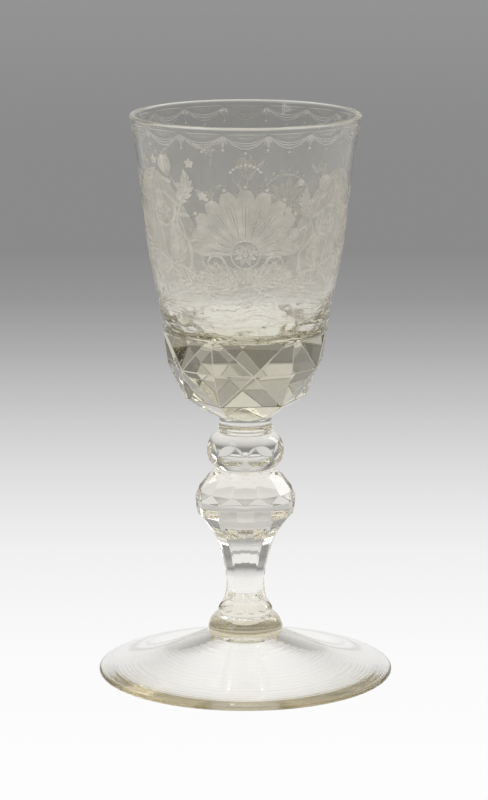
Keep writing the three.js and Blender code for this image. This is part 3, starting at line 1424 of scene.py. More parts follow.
    def tulip(self, root: Point, angle: float, size: float) -> None:
        """Cuts a flower seen from the side.

        Args:
            root: Where the petals meet.
            angle: Which way it points, in degrees.
            size: Its length.
        """
        for turn, bend in ((46, -58), (-46, 58), (24, -34), (-24, 34)):
            self.leaf(root, angle + turn, size, size * 0.34, bend, Tone.MATT)
        self.leaf(root, angle, size * 1.02, size * 0.36, 0.0, Tone.WHITE)
        self.disc(root, size * 0.16, Tone.SOFT)

    def acanthus(
        self, root: Point, angle: float, long: float, bend: float, wide: float, lobes: int = 6
    ) -> Point:
        """Cuts a leaf of many lobes.

        Args:
            root: Where it starts.
            angle: Which way it starts, in degrees.
            long: Its length.
            bend: How many degrees it turns on its way.
            wide: The length of its longest lobes.
            lobes: How many pairs of lobes it has.

        Returns:
            Its tip.
        """
        spine = [root]
        turns = [angle]
        for i in range(lobes):
            turns.append(angle + bend * (i + 1) / lobes)
            spine.append(polar(spine[-1], turns[-1], long * 0.8 / lobes))
        for i in range(lobes, 0, -1):
            reach = wide * math.sin(math.pi * (0.16 + 0.74 * i / (lobes + 1))) ** 0.8
            lean = 62 - 26 * i / lobes
            for sign in (1, -1):
                way = turns[i] + sign * lean
                self.leaf(spine[i - 1], way, reach, reach * 0.42, -sign * 22, Tone.MATT, False)
        tip = self.leaf(spine[-1], turns[-1], long * 0.3, wide * 0.4, bend * 0.25, Tone.MATT, False)
        self.stem([*spine, tip], 0.8, Tone.WHITE, 0.22)
        for i in range(1, lobes):
            for sign in (1, -1):
                reach = wide * 0.62 * math.sin(math.pi * (0.16 + 0.74 * i / (lobes + 1)))
                end = polar(spine[i], turns[i] + sign * (54 - 26 * i / lobes), reach)
                self.stroke([spine[i], end], 0.16, Tone.SOFT, 0.2)
        return tip

    def fan(self, centre: Point, radius: float, lobes: int, spread: float) -> None:
        """Cuts a shell of round-ended lobes.

        Args:
            centre: Where the lobes meet.
            radius: How long they are.
            lobes: How many there are.
            spread: The angle between the outermost two, in degrees.
        """
        gap = spread / (lobes - 1)
        for k in sorted(range(lobes), key=lambda k: -abs(k - (lobes - 1) / 2)):
            angle = 90 + spread / 2 - gap * k
            long = radius * (0.78 + 0.22 * math.cos(math.radians(angle - 90)))
            half = long * math.tan(math.radians(gap / 2)) * 0.92
            spine = [polar(centre, angle, long * i / 14) for i in range(1, 15)]
            halves = []
            for i in range(1, 15):
                end = math.sqrt(max(0.0, 1 - ((i - 10.5) / 4.0) ** 2))
                halves.append(max(0.1, half * i / 11 if i < 11 else half * end))
            self.band(spine, halves, Tone.MATT, 0.22)
            self.stroke([polar(centre, angle, long * t) for t in (0.25, 0.5, 0.78)], 0.34, Tone.CLEAR, 0.1)
            for sign in (-1, 1):
                rib = [polar(centre, angle + sign * gap * 0.24, long * t) for t in (0.42, 0.6, 0.82)]
                self.stroke(rib, 0.16, Tone.FAINT, 0.2)
            self.disc(polar(centre, angle, long + 1.0), 0.62)

    def hatch(
        self,
        left: float,
        right: float,
        low: Callable[[float], float],
        high: Callable[[float], float],
        step: float,
        width: float,
        tone: Tone,
    ) -> None:
        """Cuts upright lines between two curves.

        Args:
            left: Where the lines begin.
            right: Where they end.
            low: The lower curve.
            high: The upper curve.
            step: The distance between the lines.
            width: Their width.
            tone: How matt they are.
        """
        count = int((right - left) / step)
        for i in range(1, count):
            u = left + (right - left) * i / count
            if high(u) - low(u) > 0.5:
                self.stroke([(u, low(u) + 0.15), (u, high(u) - 0.15)], width, tone, 0.06)


@dataclass(frozen=True)
class Branch:
    """One of the two branches beside the palmette: mirrored by its sign and scaled up from the ground."""

    sign: int
    size: float
    ground: float = 140.0

    def at(self, u: float, v: float) -> Point:
        """Gives the place of a point of the right-hand branch on this one."""
        return self.sign * u, self.ground + (v - self.ground) * self.size

    def way(self, angle: float) -> float:
        """Gives the direction on this branch of an angle on the right-hand one."""
        return angle if self.sign > 0 else 180 - angle


@dataclass
class Design:
    """The engraving: a border of swags, a palmette among leafy scrolls on a mound, and a rosette behind.

    Lengths are millimetres on the wall unrolled at one radius.
    """

    radius: float = 34.0
    border_top: float = 197.6
    border_drop: float = 5.4
    bays: int = 16
    mound_low: float = 131.0
    mound_high: float = 145.5
    mound_reach: float = 1.32
    engraver: Engraver = field(default_factory=Engraver)

    @property
    def limit(self) -> float:
        """Half the length of the unrolled wall."""
        return math.pi * self.radius

    def cuts(self) -> list[Cut]:
        """Draws the whole design.

        Returns:
            The cuts in order, within one turn of the wall.
        """
        self.drapes()
        self.border()
        self.mound()
        self.scrolls()
        self.palmette()
        self.back()
        limit = self.limit
        made = []
        for cut in self.engraver.cuts:
            for shift in (0.0, 2 * limit, -2 * limit):
                moved = cut.moved(shift)
                left, right, _, _ = moved.box()
                if left < limit and right > -limit:
                    moved = moved.clipped(limit)
                    if len(moved.outline) > 2 and abs(moved.area()) > SLIVER:
                        made.append(moved)
        return made

    def drapes(self) -> None:
        """Draws a faint hanging cloth with folds on each side, behind the plants."""
        draw = self.engraver
        edge = [
            (0.4, 150.0),
            (0.56, 143.5),
            (0.95, 139.5),
            (1.25, 142.0),
            (1.4, 151.0),
            (1.4, 166.0),
            (1.24, 179.0),
            (1.02, 184.0),
            (0.8, 180.0),
            (0.6, 171.0),
            (0.46, 161.0),
        ]
        for sign in (-1, 1):
            cloth = [(sign * self.radius * a, v) for a, v in edge]
            outline = smooth([*cloth, cloth[0]], 72)[:-1]
            draw.cuts.append(Cut(outline, Tone.SOFT, 0.06))
            for fold in range(6):
                out = 0.52 + 0.15 * fold
                top = (sign * self.radius * (0.9 + 0.05 * fold), 181.0 - 1.2 * fold)
                middle = (sign * self.radius * (out + 0.1), 163.0 - fold)
                low = (sign * self.radius * out, 145.0 - 1.4 * math.sin(0.6 * fold))
                draw.stroke([top, middle, low], 0.8, Tone.MATT, 0.14)

    def border(self) -> None:
        """Draws swags, lunettes and tassels under the rim."""
        draw = self.engraver
        top = self.border_top
        bay = 2 * self.limit / self.bays
        for k in range(self.bays):
            left = -self.limit + bay * (k + 0.5)
            middle, right = left + bay / 2, left + bay
            for drop, width in ((1.0, 0.5), (0.78, 0.3), (0.58, 0.26)):
                sag = self.border_drop * drop
                path = [
                    (left + bay * t, top - sag * (1 - (2 * t - 1) ** 2) * 0.82 - 0.4)
                    for t in (0.02, 0.2, 0.4, 0.5, 0.6, 0.8, 0.98)
                ]
                draw.stroke(path, width, Tone.SOFT, 0.05)
            line = [(left + 0.6, top), (middle, top + 0.05), (right - 0.6, top)]
            draw.stroke(line, 0.28, Tone.SOFT, 0.04)
            draw.hatch(
                middle - bay * 0.27,
                middle + bay * 0.27,
                lambda u: top - 2.0 * (1 - ((u - middle) / (bay * 0.3)) ** 2),
                lambda u: top - 0.3,
                0.62,
                0.22,
                Tone.SOFT,
            )
            draw.leaf((left, top - 0.5), -90, 4.2, 1.1, 0.0, Tone.SOFT, False)
            for sign in (-1, 1):
                draw.leaf((left, top - 0.6), -90 + sign * 26, 3.0, 0.7, 0.0, Tone.SOFT, False)
            draw.disc((left, top - 5.4), 0.42)
            draw.disc((middle, top - 6.3), 0.36)

    def mound(self) -> None:
        """Draws the ground that the plants grow from."""
        draw = self.engraver
        reach = self.mound_reach * self.radius
        count = 64
        top, bottom = [], []
        for i in range(count + 1):
            t = -1 + 2 * i / count
            u = reach * t
            fade = max(0.0, 1 - abs(t) ** 3.2)
            crest = self.mound_low + 4 + (self.mound_high - self.mound_low - 4) * fade
            top.append((u, crest + 1.2 * math.sin(4.1 * t + 0.6) + 0.7 * math.sin(11 * t)))
            base = self.mound_low + 1.2 * math.sin(7 * t + 1.0) + 0.6 * math.sin(17 * t)
            bottom.append((u, base + 2.6 * (1 - fade)))
        draw.cuts.append(Cut(bottom + top[::-1], Tone.SOFT, 0.1))
        for row in range(7):
            for part in range(11):
                t0 = -0.93 + part * 0.17 + 0.06 * (row % 3)
                t1 = min(t0 + 0.13 + 0.03 * ((row * 5 + part * 3) % 4), 0.95)
                lift = (row + 0.7) / 7.6
                path = []
                for j in range(5):
                    t = t0 + (t1 - t0) * j / 4
                    place = (t + 1) / 2 * count
                    low, high = height_on(bottom, place), height_on(top, place)
                    path.append((reach * t, low + (high - low) * lift + 0.35 * math.sin(9 * t + row)))
                if t1 > t0 + 0.05:
                    tone = (Tone.WHITE, Tone.CLEAR, Tone.MATT)[(row + part) % 3]
                    draw.stroke(path, 0.34 if tone is Tone.CLEAR else 0.6, tone, 0.12)
        for i in range(38):
            t = -0.94 + 1.88 * i / 37
            crest = height_on(top, (t + 1) / 2 * count)
            lean = 90 - 34 * t + 22 * math.sin(i * 2.3)
            long = 2.4 + 1.1 * math.sin(i * 1.7) ** 2
            draw.leaf((reach * t, crest - 0.5), lean, long, 0.8, 14 * math.sin(i), Tone.MATT, False)

    def scrolls(self) -> None:
        """Draws a branch of leaves and flowers on each side."""
        draw = self.engraver
        for branch in (Branch(-1, 1.0), Branch(1, 0.86)):
            at, way, sign, size = branch.at, branch.way, branch.sign, branch.size
            draw.stem([at(13, 142), at(21, 150), at(31, 153), at(40, 160), at(41, 170), at(34, 176)], 1.7)
            draw.spiral(at(30.5, 169.5), 7.0 * size, way(64), 1.5, sign, 1.3)
            draw.stem([at(26, 152), at(36, 146), at(44, 149), at(47, 155)], 1.3)
            draw.spiral(at(42.5, 154.0), 4.6 * size, way(12), 1.3, sign, 1.0)
            draw.stem([at(20, 149), at(19, 158), at(24, 166), at(22, 175), at(27, 184)], 1.2)
            draw.acanthus(at(36, 155), way(24), 17 * size, sign * 42, 7.0 * size, 6)
            draw.acanthus(at(27, 151), way(132), 15 * size, -sign * 58, 6.2 * size, 6)
            draw.acanthus(at(40, 172), way(72), 14 * size, sign * 66, 5.4 * size, 5)
            draw.acanthus(at(16, 144), way(10), 13 * size, sign * 26, 5.0 * size, 5)
            draw.acanthus(at(23, 174), way(150), 11 * size, -sign * 62, 4.4 * size, 5)
            draw.tulip(at(27, 183), way(74), 6.6 * size)
            draw.blossom(at(30.5, 169.5), 4.2 * size, 7, 12)
            draw.blossom(at(49.5, 178.5), 4.4 * size, 8, 0)
            draw.stem([at(41, 173), at(46, 174), at(49, 177)], 0.8)
            for u, v, angle, long in (
                (20.4, 160, 160, 5.0),
                (22.6, 163, 28, 5.4),
                (23.4, 169, 176, 4.8),
                (22.6, 172, 20, 5.0),
                (24.5, 179, 168, 4.4),
                (25.5, 180, 8, 4.6),
                (33, 154, 82, 6.0),
                (38, 157, -24, 6.2),
                (41.5, 165, 6, 6.4),
                (38.5, 173.5, 118, 5.6),
                (46, 152, -44, 5.0),
                (47, 156, 40, 5.6),
                (30, 152.6, -66, 5.0),
            ):
                draw.leaf(at(u, v), way(angle), long * size, long * 0.36 * size, sign * 20)
            for u, v in ((15, 165), (14, 176), (33, 187), (52, 166), (38, 186), (18, 187)):
                draw.blossom(at(u, v), 1.7 * size, 5, 18)

    def palmette(self) -> None:
        """Draws the shell in the middle."""
        draw = self.engraver
        centre = (0.0, 156.0)
        for sign in (-1, 1):
            draw.acanthus((sign * 2, 147), 90 - sign * 62, 17, -sign * 48, 6.6, 7)
            draw.acanthus((sign * 3, 145), 90 - sign * 92, 14, sign * 50, 4.6, 6)
            draw.spiral((sign * 10.5, 152.5), 3.6, 90 + sign * 88, 1.2, -sign, 1.0)
        draw.fan(centre, 22.5, 11, 168)
        draw.disc(centre, 5.2, Tone.CLEAR, 0.0)
        draw.ring(centre, 4.9, 0.5)
        draw.blossom(centre, 4.0, 8, 22.5)
        draw.leaf((0, 151.6), -90, 7.5, 3.6, 0.0, Tone.MATT)
        for sign in (-1, 1):
            draw.leaf((sign * 1.2, 151.4), -90 + sign * 34, 6.6, 2.4, -sign * 30, Tone.MATT)
        for k in range(9):
            draw.disc(polar((0, 181.5), 90 - 14 * (k - 4), 5.6), 0.5)

    def back(self) -> None:
        """Draws a rosette between two sprigs on the far side, and loose sprigs beside them."""
        draw = self.engraver
        far = self.limit
        centre = (far - 16.0, 163.0)
        draw.ring(centre, 10.6, 0.55)
        for k in range(8):
            draw.leaf(polar(centre, 45 * k, 1.5), 45 * k, 8.4, 3.2)
            draw.leaf(polar(centre, 45 * k + 22.5, 3.2), 45 * k + 22.5, 5.4, 1.6, 0.0, Tone.WHITE, False)
        draw.disc(centre, 1.9, Tone.WHITE)
        for k in range(24):
            draw.disc(polar(centre, 15 * k, 12.1), 0.42)
        for side in (-1, 1):
            root = (centre[0] + side * 3, 142.0)
            bends = ((11, 147), (17, 160), (14, 174))
            draw.stem([root, *((root[0] + side * u, v) for u, v in bends)], 1.2)
            for k in range(9):
                t = k / 8
                u = root[0] + side * (11 * min(1, t * 2.2) + 6 * math.sin(math.pi * t) - 1.5 * t)
                v = 144 + 31 * t
                angle = 90 - side * (60 - 70 * t)
                draw.leaf((u, v), angle - side * 38, 5.4, 1.9, side * 18)
                draw.leaf((u, v), angle + side * 44, 4.6, 1.6, -side * 18)
            draw.tulip((root[0] + side * 14, 174), 90 + side * 8, 5.4)
        for u in (-far * 0.66, -far * 0.88, far * 0.58):
            for v in (150.0, 166.0, 182.0):
                offset = 3.0 * math.sin(v + u)
                draw.blossom((u + offset, v), 2.6, 6, v)
                for angle in (20, 140, 260):
                    draw.leaf(polar((u + offset, v), angle, 2.9), angle, 3.4, 1.2, 20)


@dataclass
class Bowl:
    """The bowl: a cut solid base and a round engraved wall."""

    UNDER = 1
    WALL = 2
    LID = 5
    LIP = 8
    INSIDE = 9
    rim_radius: float = 40.5 * MM
    rim_wall: float = 2.0 * MM
    low_wall: float = 2.7 * MM
    cut_height: float = 19.4 * MM
    cut_radius: float = 27.7 * MM
    cut_depth: float = 0.4 * MM
    cut_turn: float = math.radians(6.0)
    ledge: float = 31.0 * MM
    ledge_depth: float = 3.2 * MM
    under_height: float = 7.0 * MM
    under_radius: float = 18.6 * MM
    under_curve: Bands = ((17.1 * MM, 3.7 * MM), (20.9 * MM, 5.8 * MM), (23.4 * MM, 8.5 * MM))
    under_top: float = 0.74
    wall_wave: float = 0.5 * MM
    cavity_shoulder: float = 45.5 * MM
    cavity_floor: float = 26.8 * MM
    cavity_radius: float = 25.5 * MM
    cavity_steps: int = 48
    seat_radius: float = 9.5 * MM
    engraving_low: float = 35.3 * MM
    engraving_high: float = 106.3 * MM
    side_flats: int = 12
    under_flats: int = 6
    sides: int = 180
    rows: int = 29
    softness: float = 0.26 * MM
    # The lip is matt: wear, and a painted highlight along the rim.
    lip_wear_and_highlight: float = 0.55
    # The haze is a painted reflection of the front light over the engraved wall: how strong it is, how fast
    # it rises from the bottom and how it falls towards the top.
    reflection_haze: float = 0.26
    reflection_haze_rise: float = 8.0
    reflection_haze_fall: float = 1.3
    reflection_haze_top: float = 0.1
    floor_wave: float = 0.7 * MM
    floor_fade: float = 6.0 * MM
    floor_scale: float = 95.0
    floor_noise: tuple[float, float, int] = (0.9, 2.1, 3)
    ledge_wave: float = 0.35 * MM
    ledge_scale: float = 170.0
    ledge_step: float = 0.1 * MM
    probe: float = 0.1 * MM
    design: Design = field(default_factory=Design)

    def radius(self, height: float, tall: float) -> float:
        """Gives the outer radius of the wall.

        Args:
            height: The height over the bowl's base.
            tall: The bowl's height.

        Returns:
            The radius.
        """
        s = (height - self.cut_height) / (tall - self.cut_height)
        swell = (self.rim_radius - self.cut_radius) * s
        return self.cut_radius + swell - self.wall_wave * math.sin(3 * math.pi * max(s, 0.0))

    def build(self, material: bpy.types.Material) -> None:
        """Makes the bowl.

        Args:
            material: Its finish.
        """
        piece = Piece("bowl", Slot.BOWL)
        low = piece.low + SEAT_GAP
        tall = piece.high - piece.low
        blank = Blank(self.base_rings(low, tall), self.sides)
        level = low + self.cut_height
        corner = self.cut_radius - self.cut_depth
        for (count, reach, phase), slope in zip(self.facets(corner), self.facet_slopes(corner, tall)):
            blank.grind(Flats(count, reach, level, slope, phase))
        slope = (self.under_radius - self.seat_radius) / self.under_height
        blank.grind(Flats(self.under_flats, self.seat_radius + 0.05 * MM, low, slope, self.cut_turn))
        blank.soften(self.softness)
        blank.hang(self.LID, self.wall_rings(low, tall))
        blank.turn(self.inside_rings(piece.low, tall))
        # The lip and the ledge are marked worn: matt glass that is partly wear and partly a painted
        # highlight.
        for face in blank.mesh.faces:
            if face[blank.number] == self.LIP * blank.ZONE:
                face[blank.worn_and_highlit] = self.lip_wear_and_highlight
            elif face[blank.number] == self.LID * blank.ZONE:
                face[blank.worn_and_highlit] = 1.0
        self.blow(blank, low)
        self.engrave(blank, piece.low, tall)
        piece.show(self.finish(blank, piece.low, tall), material, [Seat(low, self.seat_radius)])

    def blow(self, blank: Blank, low: float) -> None:
        """Gives the cavity's floor and the wall over the ledge the uneven skin of blown glass.

        Args:
            blank: The bowl so far.
            low: The height of the bowl's base.
        """
        top = self.engraving_low - self.ledge_step
        for vert in blank.mesh.verts:
            height = vert.co.z - low
            zones = {face[blank.number] for face in vert.link_faces}
            if zones == {self.INSIDE * blank.ZONE} and height < self.cavity_shoulder:
                fade = min(1.0, (self.cavity_shoulder - height) / self.floor_fade)
                lump = noise.fractal(vert.co * self.floor_scale, *self.floor_noise)
                vert.co.z += self.floor_wave * lump * fade
            elif zones == {self.WALL * blank.ZONE} and self.ledge < height < top:
                lump = noise.noise(vert.co * self.ledge_scale)
                vert.co.xy *= 1 - self.ledge_wave * (0.5 + 0.5 * lump) / vert.co.xy.length

    def facets(self, corner: float) -> list[tuple[int, float, float]]:
        """Lays out the rings of facets that meet at the crosses.

        Args:
            corner: The radius at the facets' corners in the line of crosses.

        Returns:
            The count, distance and phase of each ring.
        """
        half = math.pi / self.side_flats
        beside = (self.side_flats, corner * math.cos(half), self.cut_turn + half)
        crossed = (self.under_flats, corner, self.cut_turn)
        return [beside, beside, crossed, crossed]

    def facet_slopes(self, corner: float, tall: float) -> list[float]:
        """Gives the slopes of the same rings, each above and below the crosses.

        Args:
            corner: The radius at the facets' corners in the line of crosses.
            tall: The bowl's height.

        Returns:
            The slope of each ring.
        """
        rise, drop = self.ledge - self.cut_height, self.cut_height - self.under_height
        wall = self.radius(self.ledge, tall)
        flat = math.cos(math.pi / self.side_flats)
        under_corner = self.under_radius / math.cos(math.pi / self.under_flats)
        beside = (flat * (wall - corner) / rise, flat * (corner - under_corner) / drop)
        crossed = ((wall - self.ledge_depth - corner) / rise, (corner - self.under_radius) / drop)
        return [*beside, *crossed]

    def base_rings(self, low: float, tall: float) -> list[Ring]:
        """Gives the outside of the cut base, with a flat lid at the ledge.

        Args:
            low: The height of the bowl's base.
            tall: The bowl's height.

        Returns:
            The rings from the axis below to the middle of the lid.
        """
        rings = [Ring(0.0, low, self.UNDER), Ring(self.seat_radius, low, self.WALL)]
        rings += [Ring(radius, low + height, self.WALL) for radius, height in self.under_curve]
        rows = 9
        start = self.cut_height * self.under_top
        for i in range(rows + 1):
            height = start + (self.ledge - start) * i / rows
            rings.append(Ring(self.radius(height, tall), low + height, self.WALL))
        rings.append(Ring(0.0, low + self.ledge, self.LID))
        return [*rings[:-2], Ring(rings[-2].radius, rings[-2].height, self.LID), rings[-1]]

    def wall_rings(self, low: float, tall: float) -> list[Ring]:
        """Gives the plain wall from the ledge to the engraving.

        Args:
            low: The height of the bowl's base.
            tall: The bowl's height.

        Returns:
            The rings from the ledge upwards.
        """
        rows = 5
        rings = []
        for i in range(rows + 1):
            height = self.ledge + (self.engraving_low - self.ledge) * i / rows
            lift = 0.0 if i < rows else -SEAT_GAP
            step = self.ledge_step * (1 - i / rows)
            rings.append(Ring(self.radius(height, tall) + step, low + height + lift, self.WALL))
        return rings

    def inside_rings(self, low: float, tall: float) -> list[Ring]:
        """Gives the lip, the inside wall and the cavity's floor.

        Args:
            low: The height of the bowl's base.
            tall: The bowl's height.

        Returns:
            The rings from the lip's outer side to the middle of the floor.
        """
        lip = self.rim_wall / 2
        rings = []
        steps = 14
        centre = self.radius(self.engraving_high, tall) - lip
        for i in range(steps + 1):
            turn = math.pi * i / steps
            height = low + self.engraving_high + lip * math.sin(turn)
            rings.append(Ring(centre + lip * math.cos(turn), height, self.LIP))
        rings[-1] = Ring(rings[-1].radius, rings[-1].height, self.INSIDE)
        rows = 34
        for i in range(1, rows + 1):
            part = i / rows
            height = self.engraving_high + (self.cavity_shoulder - self.engraving_high) * part
            wall = self.rim_wall + (self.low_wall - self.rim_wall) * part
            rings.append(Ring(self.radius(height, tall) - wall, low + height, self.INSIDE))
        deep = self.cavity_shoulder - self.cavity_floor
        floor = smooth(
            [
                (rings[-1].radius, low + self.cavity_shoulder),
                (self.cavity_radius, low + self.cavity_floor + deep * 0.5),
                (self.cavity_radius * 0.86, low + self.cavity_floor + deep * 0.24),
                (self.cavity_radius * 0.5, low + self.cavity_floor + deep * 0.05),
                (0.0, low + self.cavity_floor),
            ],
            self.cavity_steps,
        )
        rings += [Ring(r, h, self.INSIDE) for r, h in floor[1:-1]]
        rings.append(Ring(0.0, floor[-1][1], self.INSIDE))
        return rings

    def sheet(self, lift: float) -> tuple[Path, list[tuple[int, int]]]:
        """Lays out the plain wall, unrolled.

        Args:
            lift: The height of the bowl's base in millimetres.

        Returns:
            The points of an even grid, and the edges along its four sides.
        """
        limit = self.design.limit
        bottom, top = self.engraving_low / MM, self.engraving_high / MM
        points = []
        for row in range(self.rows + 1):
            v = lift + bottom + (top - bottom) * row / self.rows
            points += [(-limit + 2 * limit * column / self.sides, v) for column in range(self.sides + 1)]
        wide = self.sides + 1
        edges = []
        for row in range(self.rows):
            edges += [(row * wide + side, (row + 1) * wide + side) for side in (0, self.sides)]
        for column in range(self.sides):
            edges += [(row * wide + column, row * wide + column + 1) for row in (0, self.rows)]
        return points, edges

    def depth_at(self, cuts: list[tuple[Cut, tuple[float, float, float, float]]], point: Point) -> float:
        """Gives the depth of the wall's surface at a point.

        Args:
            cuts: The cuts in order, each with its limits.
            point: A point of the unrolled wall.

        Returns:
            The depth of the last cut there, or 0 on the plain wall and its seam.
        """
        u, v = point
        if abs(u) < self.design.limit - SEAM:
            for cut, (left, right, down, up) in reversed(cuts):
                if left < u < right and down < v < up:
                    found = cut.depth_at(point)
                    if found is not None:
                        return found
        return 0.0

    def engrave(self, blank: Blank, low: float, tall: float) -> None:
        """Fills the wall between the base and the lip with the engraved surface.

        Args:
            blank: The bowl so far.
            low: The height of the bowl's base.
            tall: Its height.
        """
        lift = low / MM
        bottom, top = self.engraving_low / MM, self.engraving_high / MM
        cuts = self.design.cuts()
        boxed = [(cut, cut.box()) for cut in cuts]
        points, edges = self.sheet(lift)
        depths = [self.depth_at(boxed, point) for point in points]
        faces: list[list[int]] = []
        for cut in cuts:
            outline = cut.outline if cut.area() > 0 else cut.outline[::-1]
            faces.append(list(range(len(points), len(points) + len(outline))))
            points += outline
            depths += [0.0] * len(outline)
            start = len(points)
            points += cut.ridge
            depths += [cut.depth] * len(cut.ridge)
            edges += [(start + i, start + i + 1) for i in range(len(cut.ridge) - 1)]
        verts, _, triangles, sources, _, owners = delaunay_2d_cdt(
            [Vector(p) for p in points], edges, faces, 0, SEAM, True
        )
        deepest = [max((depths[i] for i in source), default=0.0) for source in sources]
        engraving = blank.mesh.faces.layers.float.new("engraving")
        kind = blank.mesh.faces.layers.int.new("kind")
        made = []
        for vert, depth in zip(verts, deepest):
            radius = self.radius(vert.y * MM - low, tall) - depth * MM
            made.append(blank.mesh.verts.new(around(vert.x / self.design.radius, radius, vert.y * MM)))
        for triangle, owner in zip(triangles, owners):
            face = blank.mesh.faces.new([made[i] for i in triangle])
            tone = cuts[max(owner)].tone.value if owner else 0.0
            face[engraving] = tone
            # The veil paints a reflection of the front light: it rises quickly from the bottom of the band
            # and fades towards the top.
            share = (sum(verts[i].y for i in triangle) / 3 - lift - bottom) / (top - bottom)
            fall = self.reflection_haze_top + self.reflection_haze_fall * (1 - share)
            face[blank.veil] = self.reflection_haze * min(1.0, self.reflection_haze_rise * share, fall)
            plain = tone == 0.0 and not any(deepest[i] for i in triangle)
            face[kind] = Side.ROUND_WALL.value if plain else Side.ENGRAVED.value
        LOG.info("engraving: %d cuts, %d faces", len(cuts), len(triangles))

    def wall_normal(self, point: Vector, low: float, tall: float) -> Vector:
        """Gives the true direction of the round wall at a point.

        Args:
            point: A point of the wall.
            low: The height of the bowl's base.
            tall: The bowl's height.

        Returns:
            The unit vector that points outward.
        """
        height, step = point.z - low, self.probe
        rise = (self.radius(height + step, tall) - self.radius(height - step, tall)) / (2 * step)
        flat = Vector((point.x, point.y, 0.0)).normalized()
        return Vector((flat.x, flat.y, -rise)).normalized()

    def finish(self, blank: Blank, low: float, tall: float) -> bpy.types.Mesh:
        """Closes the bowl and gives its mesh.

        Args:
            blank: The bowl with all its surfaces.
            low: The height of the bowl's base.
            tall: The bowl's height.

        Returns:
            The mesh with its normals.
        """
        bmesh.ops.remove_doubles(blank.mesh, verts=blank.mesh.verts, dist=0.0005 * MM)
        face_outward(blank.mesh)
        open_edges = sum(1 for e in blank.mesh.edges if len(e.link_faces) != 2)
        LOG.info("bowl: %d edges without two faces", open_edges)
        mesh = bpy.data.meshes.new("bowl")
        blank.mesh.to_mesh(mesh)
        blank.mesh.free()
        kinds = [item.value for item in mesh.attributes["kind"].data]
        dress_normals(mesh, kinds, lambda point: self.wall_normal(point, low, tall))
        return mesh


@dataclass(frozen=True)
class Softbox:
    """One large soft lamp."""

    name: str
    azimuth: float
    elevation: float
    distance: float
    width: float
    height: float
    power: float
    aim: float = 0.1

    def build(self) -> None:
        """Hangs the lamp, facing the goblet's middle."""
        data = bpy.data.lights.new(self.name, "AREA")
        data.shape = "RECTANGLE"
        data.size = self.width
        data.size_y = self.height
        data.energy = self.power
        lamp = bpy.data.objects.new(self.name, data)
        elevation = math.radians(self.elevation)
        flat, height = self.distance * math.cos(elevation), self.distance * math.sin(elevation)
        lamp.location = around(math.radians(self.azimuth), flat, height)
        middle = Vector((0.0, 0.0, self.aim))
        lamp.rotation_euler = (middle - lamp.location).to_track_quat("-Z", "Y").to_euler()
        bpy.context.scene.collection.objects.link(lamp)


@dataclass(frozen=True)
class Table:
    """The pale table top. It glows white in front and falls away to grey behind."""

    reach: float = 6.0
    drop: float = 0.2 * MM
    near: float = -0.1
    far: float = 2.6
    glow: tuple[tuple[float, int], ...] = (
        (-0.1, 253),
        (0.02, 250),
        (0.09, 246),
        (0.17, 240),
        (0.25, 230),
        (0.35, 215),
        (0.46, 196),
        (0.59, 173),
        (0.74, 150),
        (0.91, 138),
        (1.3, 138),
        (2.6, 148),
    )

    def build(self) -> None:
        """Lays the table top."""
        material = bpy.data.materials.new("table")
        shade = Shade(material)
        span = self.far - self.near
        back = (shade.place().axis(1) - self.near) * (1 / span)
        light = shade.ramp(back, [((y - self.near) / span, linear(grey)) for y, grey in self.glow])
        shine = shade.add("ShaderNodeEmission", None, {"Color": light, "Strength": 1.0})
        shade.add("ShaderNodeOutputMaterial", None, {"Surface": shine})
        top = bpy.data.meshes.new("table")
        corners = [(-1, -1), (1, -1), (1, 1), (-1, 1)]
        top.from_pydata([(x * self.reach, y * self.reach, 0.0) for x, y in corners], [], [(0, 1, 2, 3)])
        top.materials.append(material)
        table = bpy.data.objects.new("table", top)
        table.location.z = -self.drop
        bpy.context.scene.collection.objects.link(table)


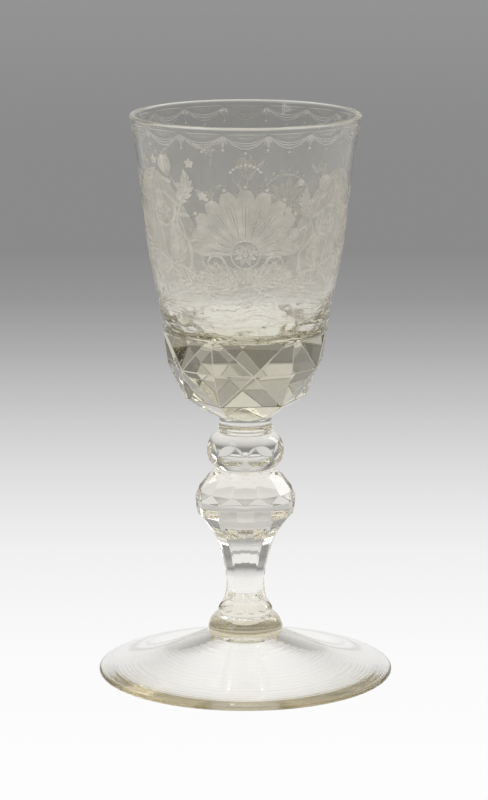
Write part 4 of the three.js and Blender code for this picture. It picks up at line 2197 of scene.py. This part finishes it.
@dataclass(frozen=True)
class Studio:
    """The room: a bright backdrop behind, dim at the sides and dimmer on the camera's side.

    Each side lists the sine of an elevation and the light there. Each turn is how far round to
    the back, as a cosine, one side starts to give way to the next and where it has done so.
    """

    behind: Bands = (
        (0.0, 0.9),
        (0.055, 0.88),
        (0.066, 0.46),
        (0.095, 0.42),
        (0.115, 0.78),
        (0.19, 0.74),
        (0.23, 0.64),
        (0.28, 0.6),
        (0.33, 0.52),
        (0.43, 0.42),
        (0.56, 0.42),
        (0.72, 0.85),
        (1.0, 1.0),
    )
    beside: Bands = (
        (0.0, 0.25),
        (0.12, 0.16),
        (0.3, 0.2),
        (0.5, 0.45),
        (0.7, 0.8),
        (1.0, 1.0),
    )
    ahead: Bands = (
        (0.0, 0.08),
        (0.2, 0.03),
        (0.35, 0.05),
        (0.55, 0.35),
        (0.7, 0.8),
        (1.0, 1.0),
    )
    turns: Bands = ((-0.4, 0.2), (0.72, 0.92))
    lamps: tuple[Softbox, ...] = (
        Softbox("key", azimuth=-52.0, elevation=42.0, distance=1.3, width=0.5, height=0.9, power=2.5),
        Softbox("rim", azimuth=128.0, elevation=34.0, distance=1.4, width=0.35, height=0.9, power=3.0),
    )
    bounces: int = 32

    def world(self) -> bpy.types.World:
        """Makes the light of the room, which changes with elevation and azimuth.

        Returns:
            The world.
        """
        world = bpy.data.worlds.new("studio")
        shade = Shade(world)
        toward = shade.add("ShaderNodeTexCoord", out="Generated")
        height = toward.axis(2)
        flat = {0: toward, 1: (1.0, 1.0, 0.0)}
        level = shade.add("ShaderNodeVectorMath", {"operation": "MULTIPLY"}, flat)
        back = shade.add("ShaderNodeVectorMath", {"operation": "NORMALIZE"}, {0: level}).axis(1)
        light = shade.ramp(height, self.ahead)
        for bands, (start, end) in zip((self.beside, self.behind), self.turns):
            share = shade.add(
                "ShaderNodeMapRange",
                {"interpolation_type": "SMOOTHSTEP"},
                {"Value": back, "From Min": start, "From Max": end},
            )
            light = shade.blend(share, light, shade.ramp(height, bands))
        background = shade.add("ShaderNodeBackground", None, {"Color": light})
        shade.add("ShaderNodeOutputWorld", None, {"Surface": background})
        return world

    def build(self) -> None:
        """Sets the world, the lamps, the table and the depth of light paths."""
        scene = bpy.context.scene
        scene.world = self.world()
        for lamp in self.lamps:
            lamp.build()
        Table().build()
        scene.view_settings.view_transform = "Standard"
        scene.cycles.max_bounces = self.bounces
        scene.cycles.transmission_bounces = self.bounces
        scene.cycles.glossy_bounces = self.bounces
        scene.cycles.transparent_max_bounces = self.bounces
        scene.cycles.caustics_reflective = True
        scene.cycles.caustics_refractive = True


@dataclass(frozen=True)
class View:
    """The camera at the photograph's angle."""

    place: tuple[float, float, float] = (-0.0005, -1.1684, 0.34735)
    pitch: float = 12.03
    lens: float = 152.42
    sensor: float = 36.0

    def build(self) -> None:
        """Sets the camera."""
        data = bpy.data.cameras.new("camera")
        data.lens = self.lens
        data.sensor_width = self.sensor
        data.sensor_fit = "AUTO"
        camera = bpy.data.objects.new("camera", data)
        camera.location = self.place
        camera.rotation_euler = (math.radians(90 - self.pitch), 0.0, 0.0)
        bpy.context.scene.collection.objects.link(camera)
        bpy.context.scene.camera = camera


def main() -> None:
    """Builds the goblet from the foot up, then the room round it."""
    logging.basicConfig(level=logging.INFO, format="%(message)s")
    foot_glass = Glass(
        "foot glass",
        wave_scale=60.0,
        wave_depth=0.03 * MM,
        ring_depth=0.02 * MM,
        depth_tint=(0.72, 0.65, 0.42),
        depth_density=18.0,
    ).make()
    stem_glass = Glass("stem glass", wave_scale=140.0, wave_depth=0.02 * MM).make()
    bowl_glass = Glass(
        "bowl glass",
        wave_scale=90.0,
        wave_depth=0.06 * MM,
        wear_and_highlight=0.6,
        engraved=True,
        skin=(0.98, 0.978, 0.947),
        depth_tint=(0.64, 0.595, 0.4),
        depth_density=18.5,
    ).make()
    lathe = Lathe()
    Foot().build(lathe, foot_glass)
    BaseKnop().build(stem_glass)
    Baluster().build(stem_glass)
    Knop().build(stem_glass)
    merese = ((9.65 * MM, 0.0), (10.0 * MM, 0.2), (9.65 * MM, 0.45), (9.9 * MM, 0.72), (9.55 * MM, 1.0))
    collar = ((9.5 * MM, 0.0), (9.2 * MM, 0.4), (9.35 * MM, 0.75), (9.5 * MM, 1.0))
    Disc(node="merese", shape=merese).build(lathe, stem_glass)
    Disc(node="bowl_collar", shape=collar).build(lathe, stem_glass)
    Bowl().build(bowl_glass)
    Studio().build()
    View().build()


if __name__ == "__main__":
    main()
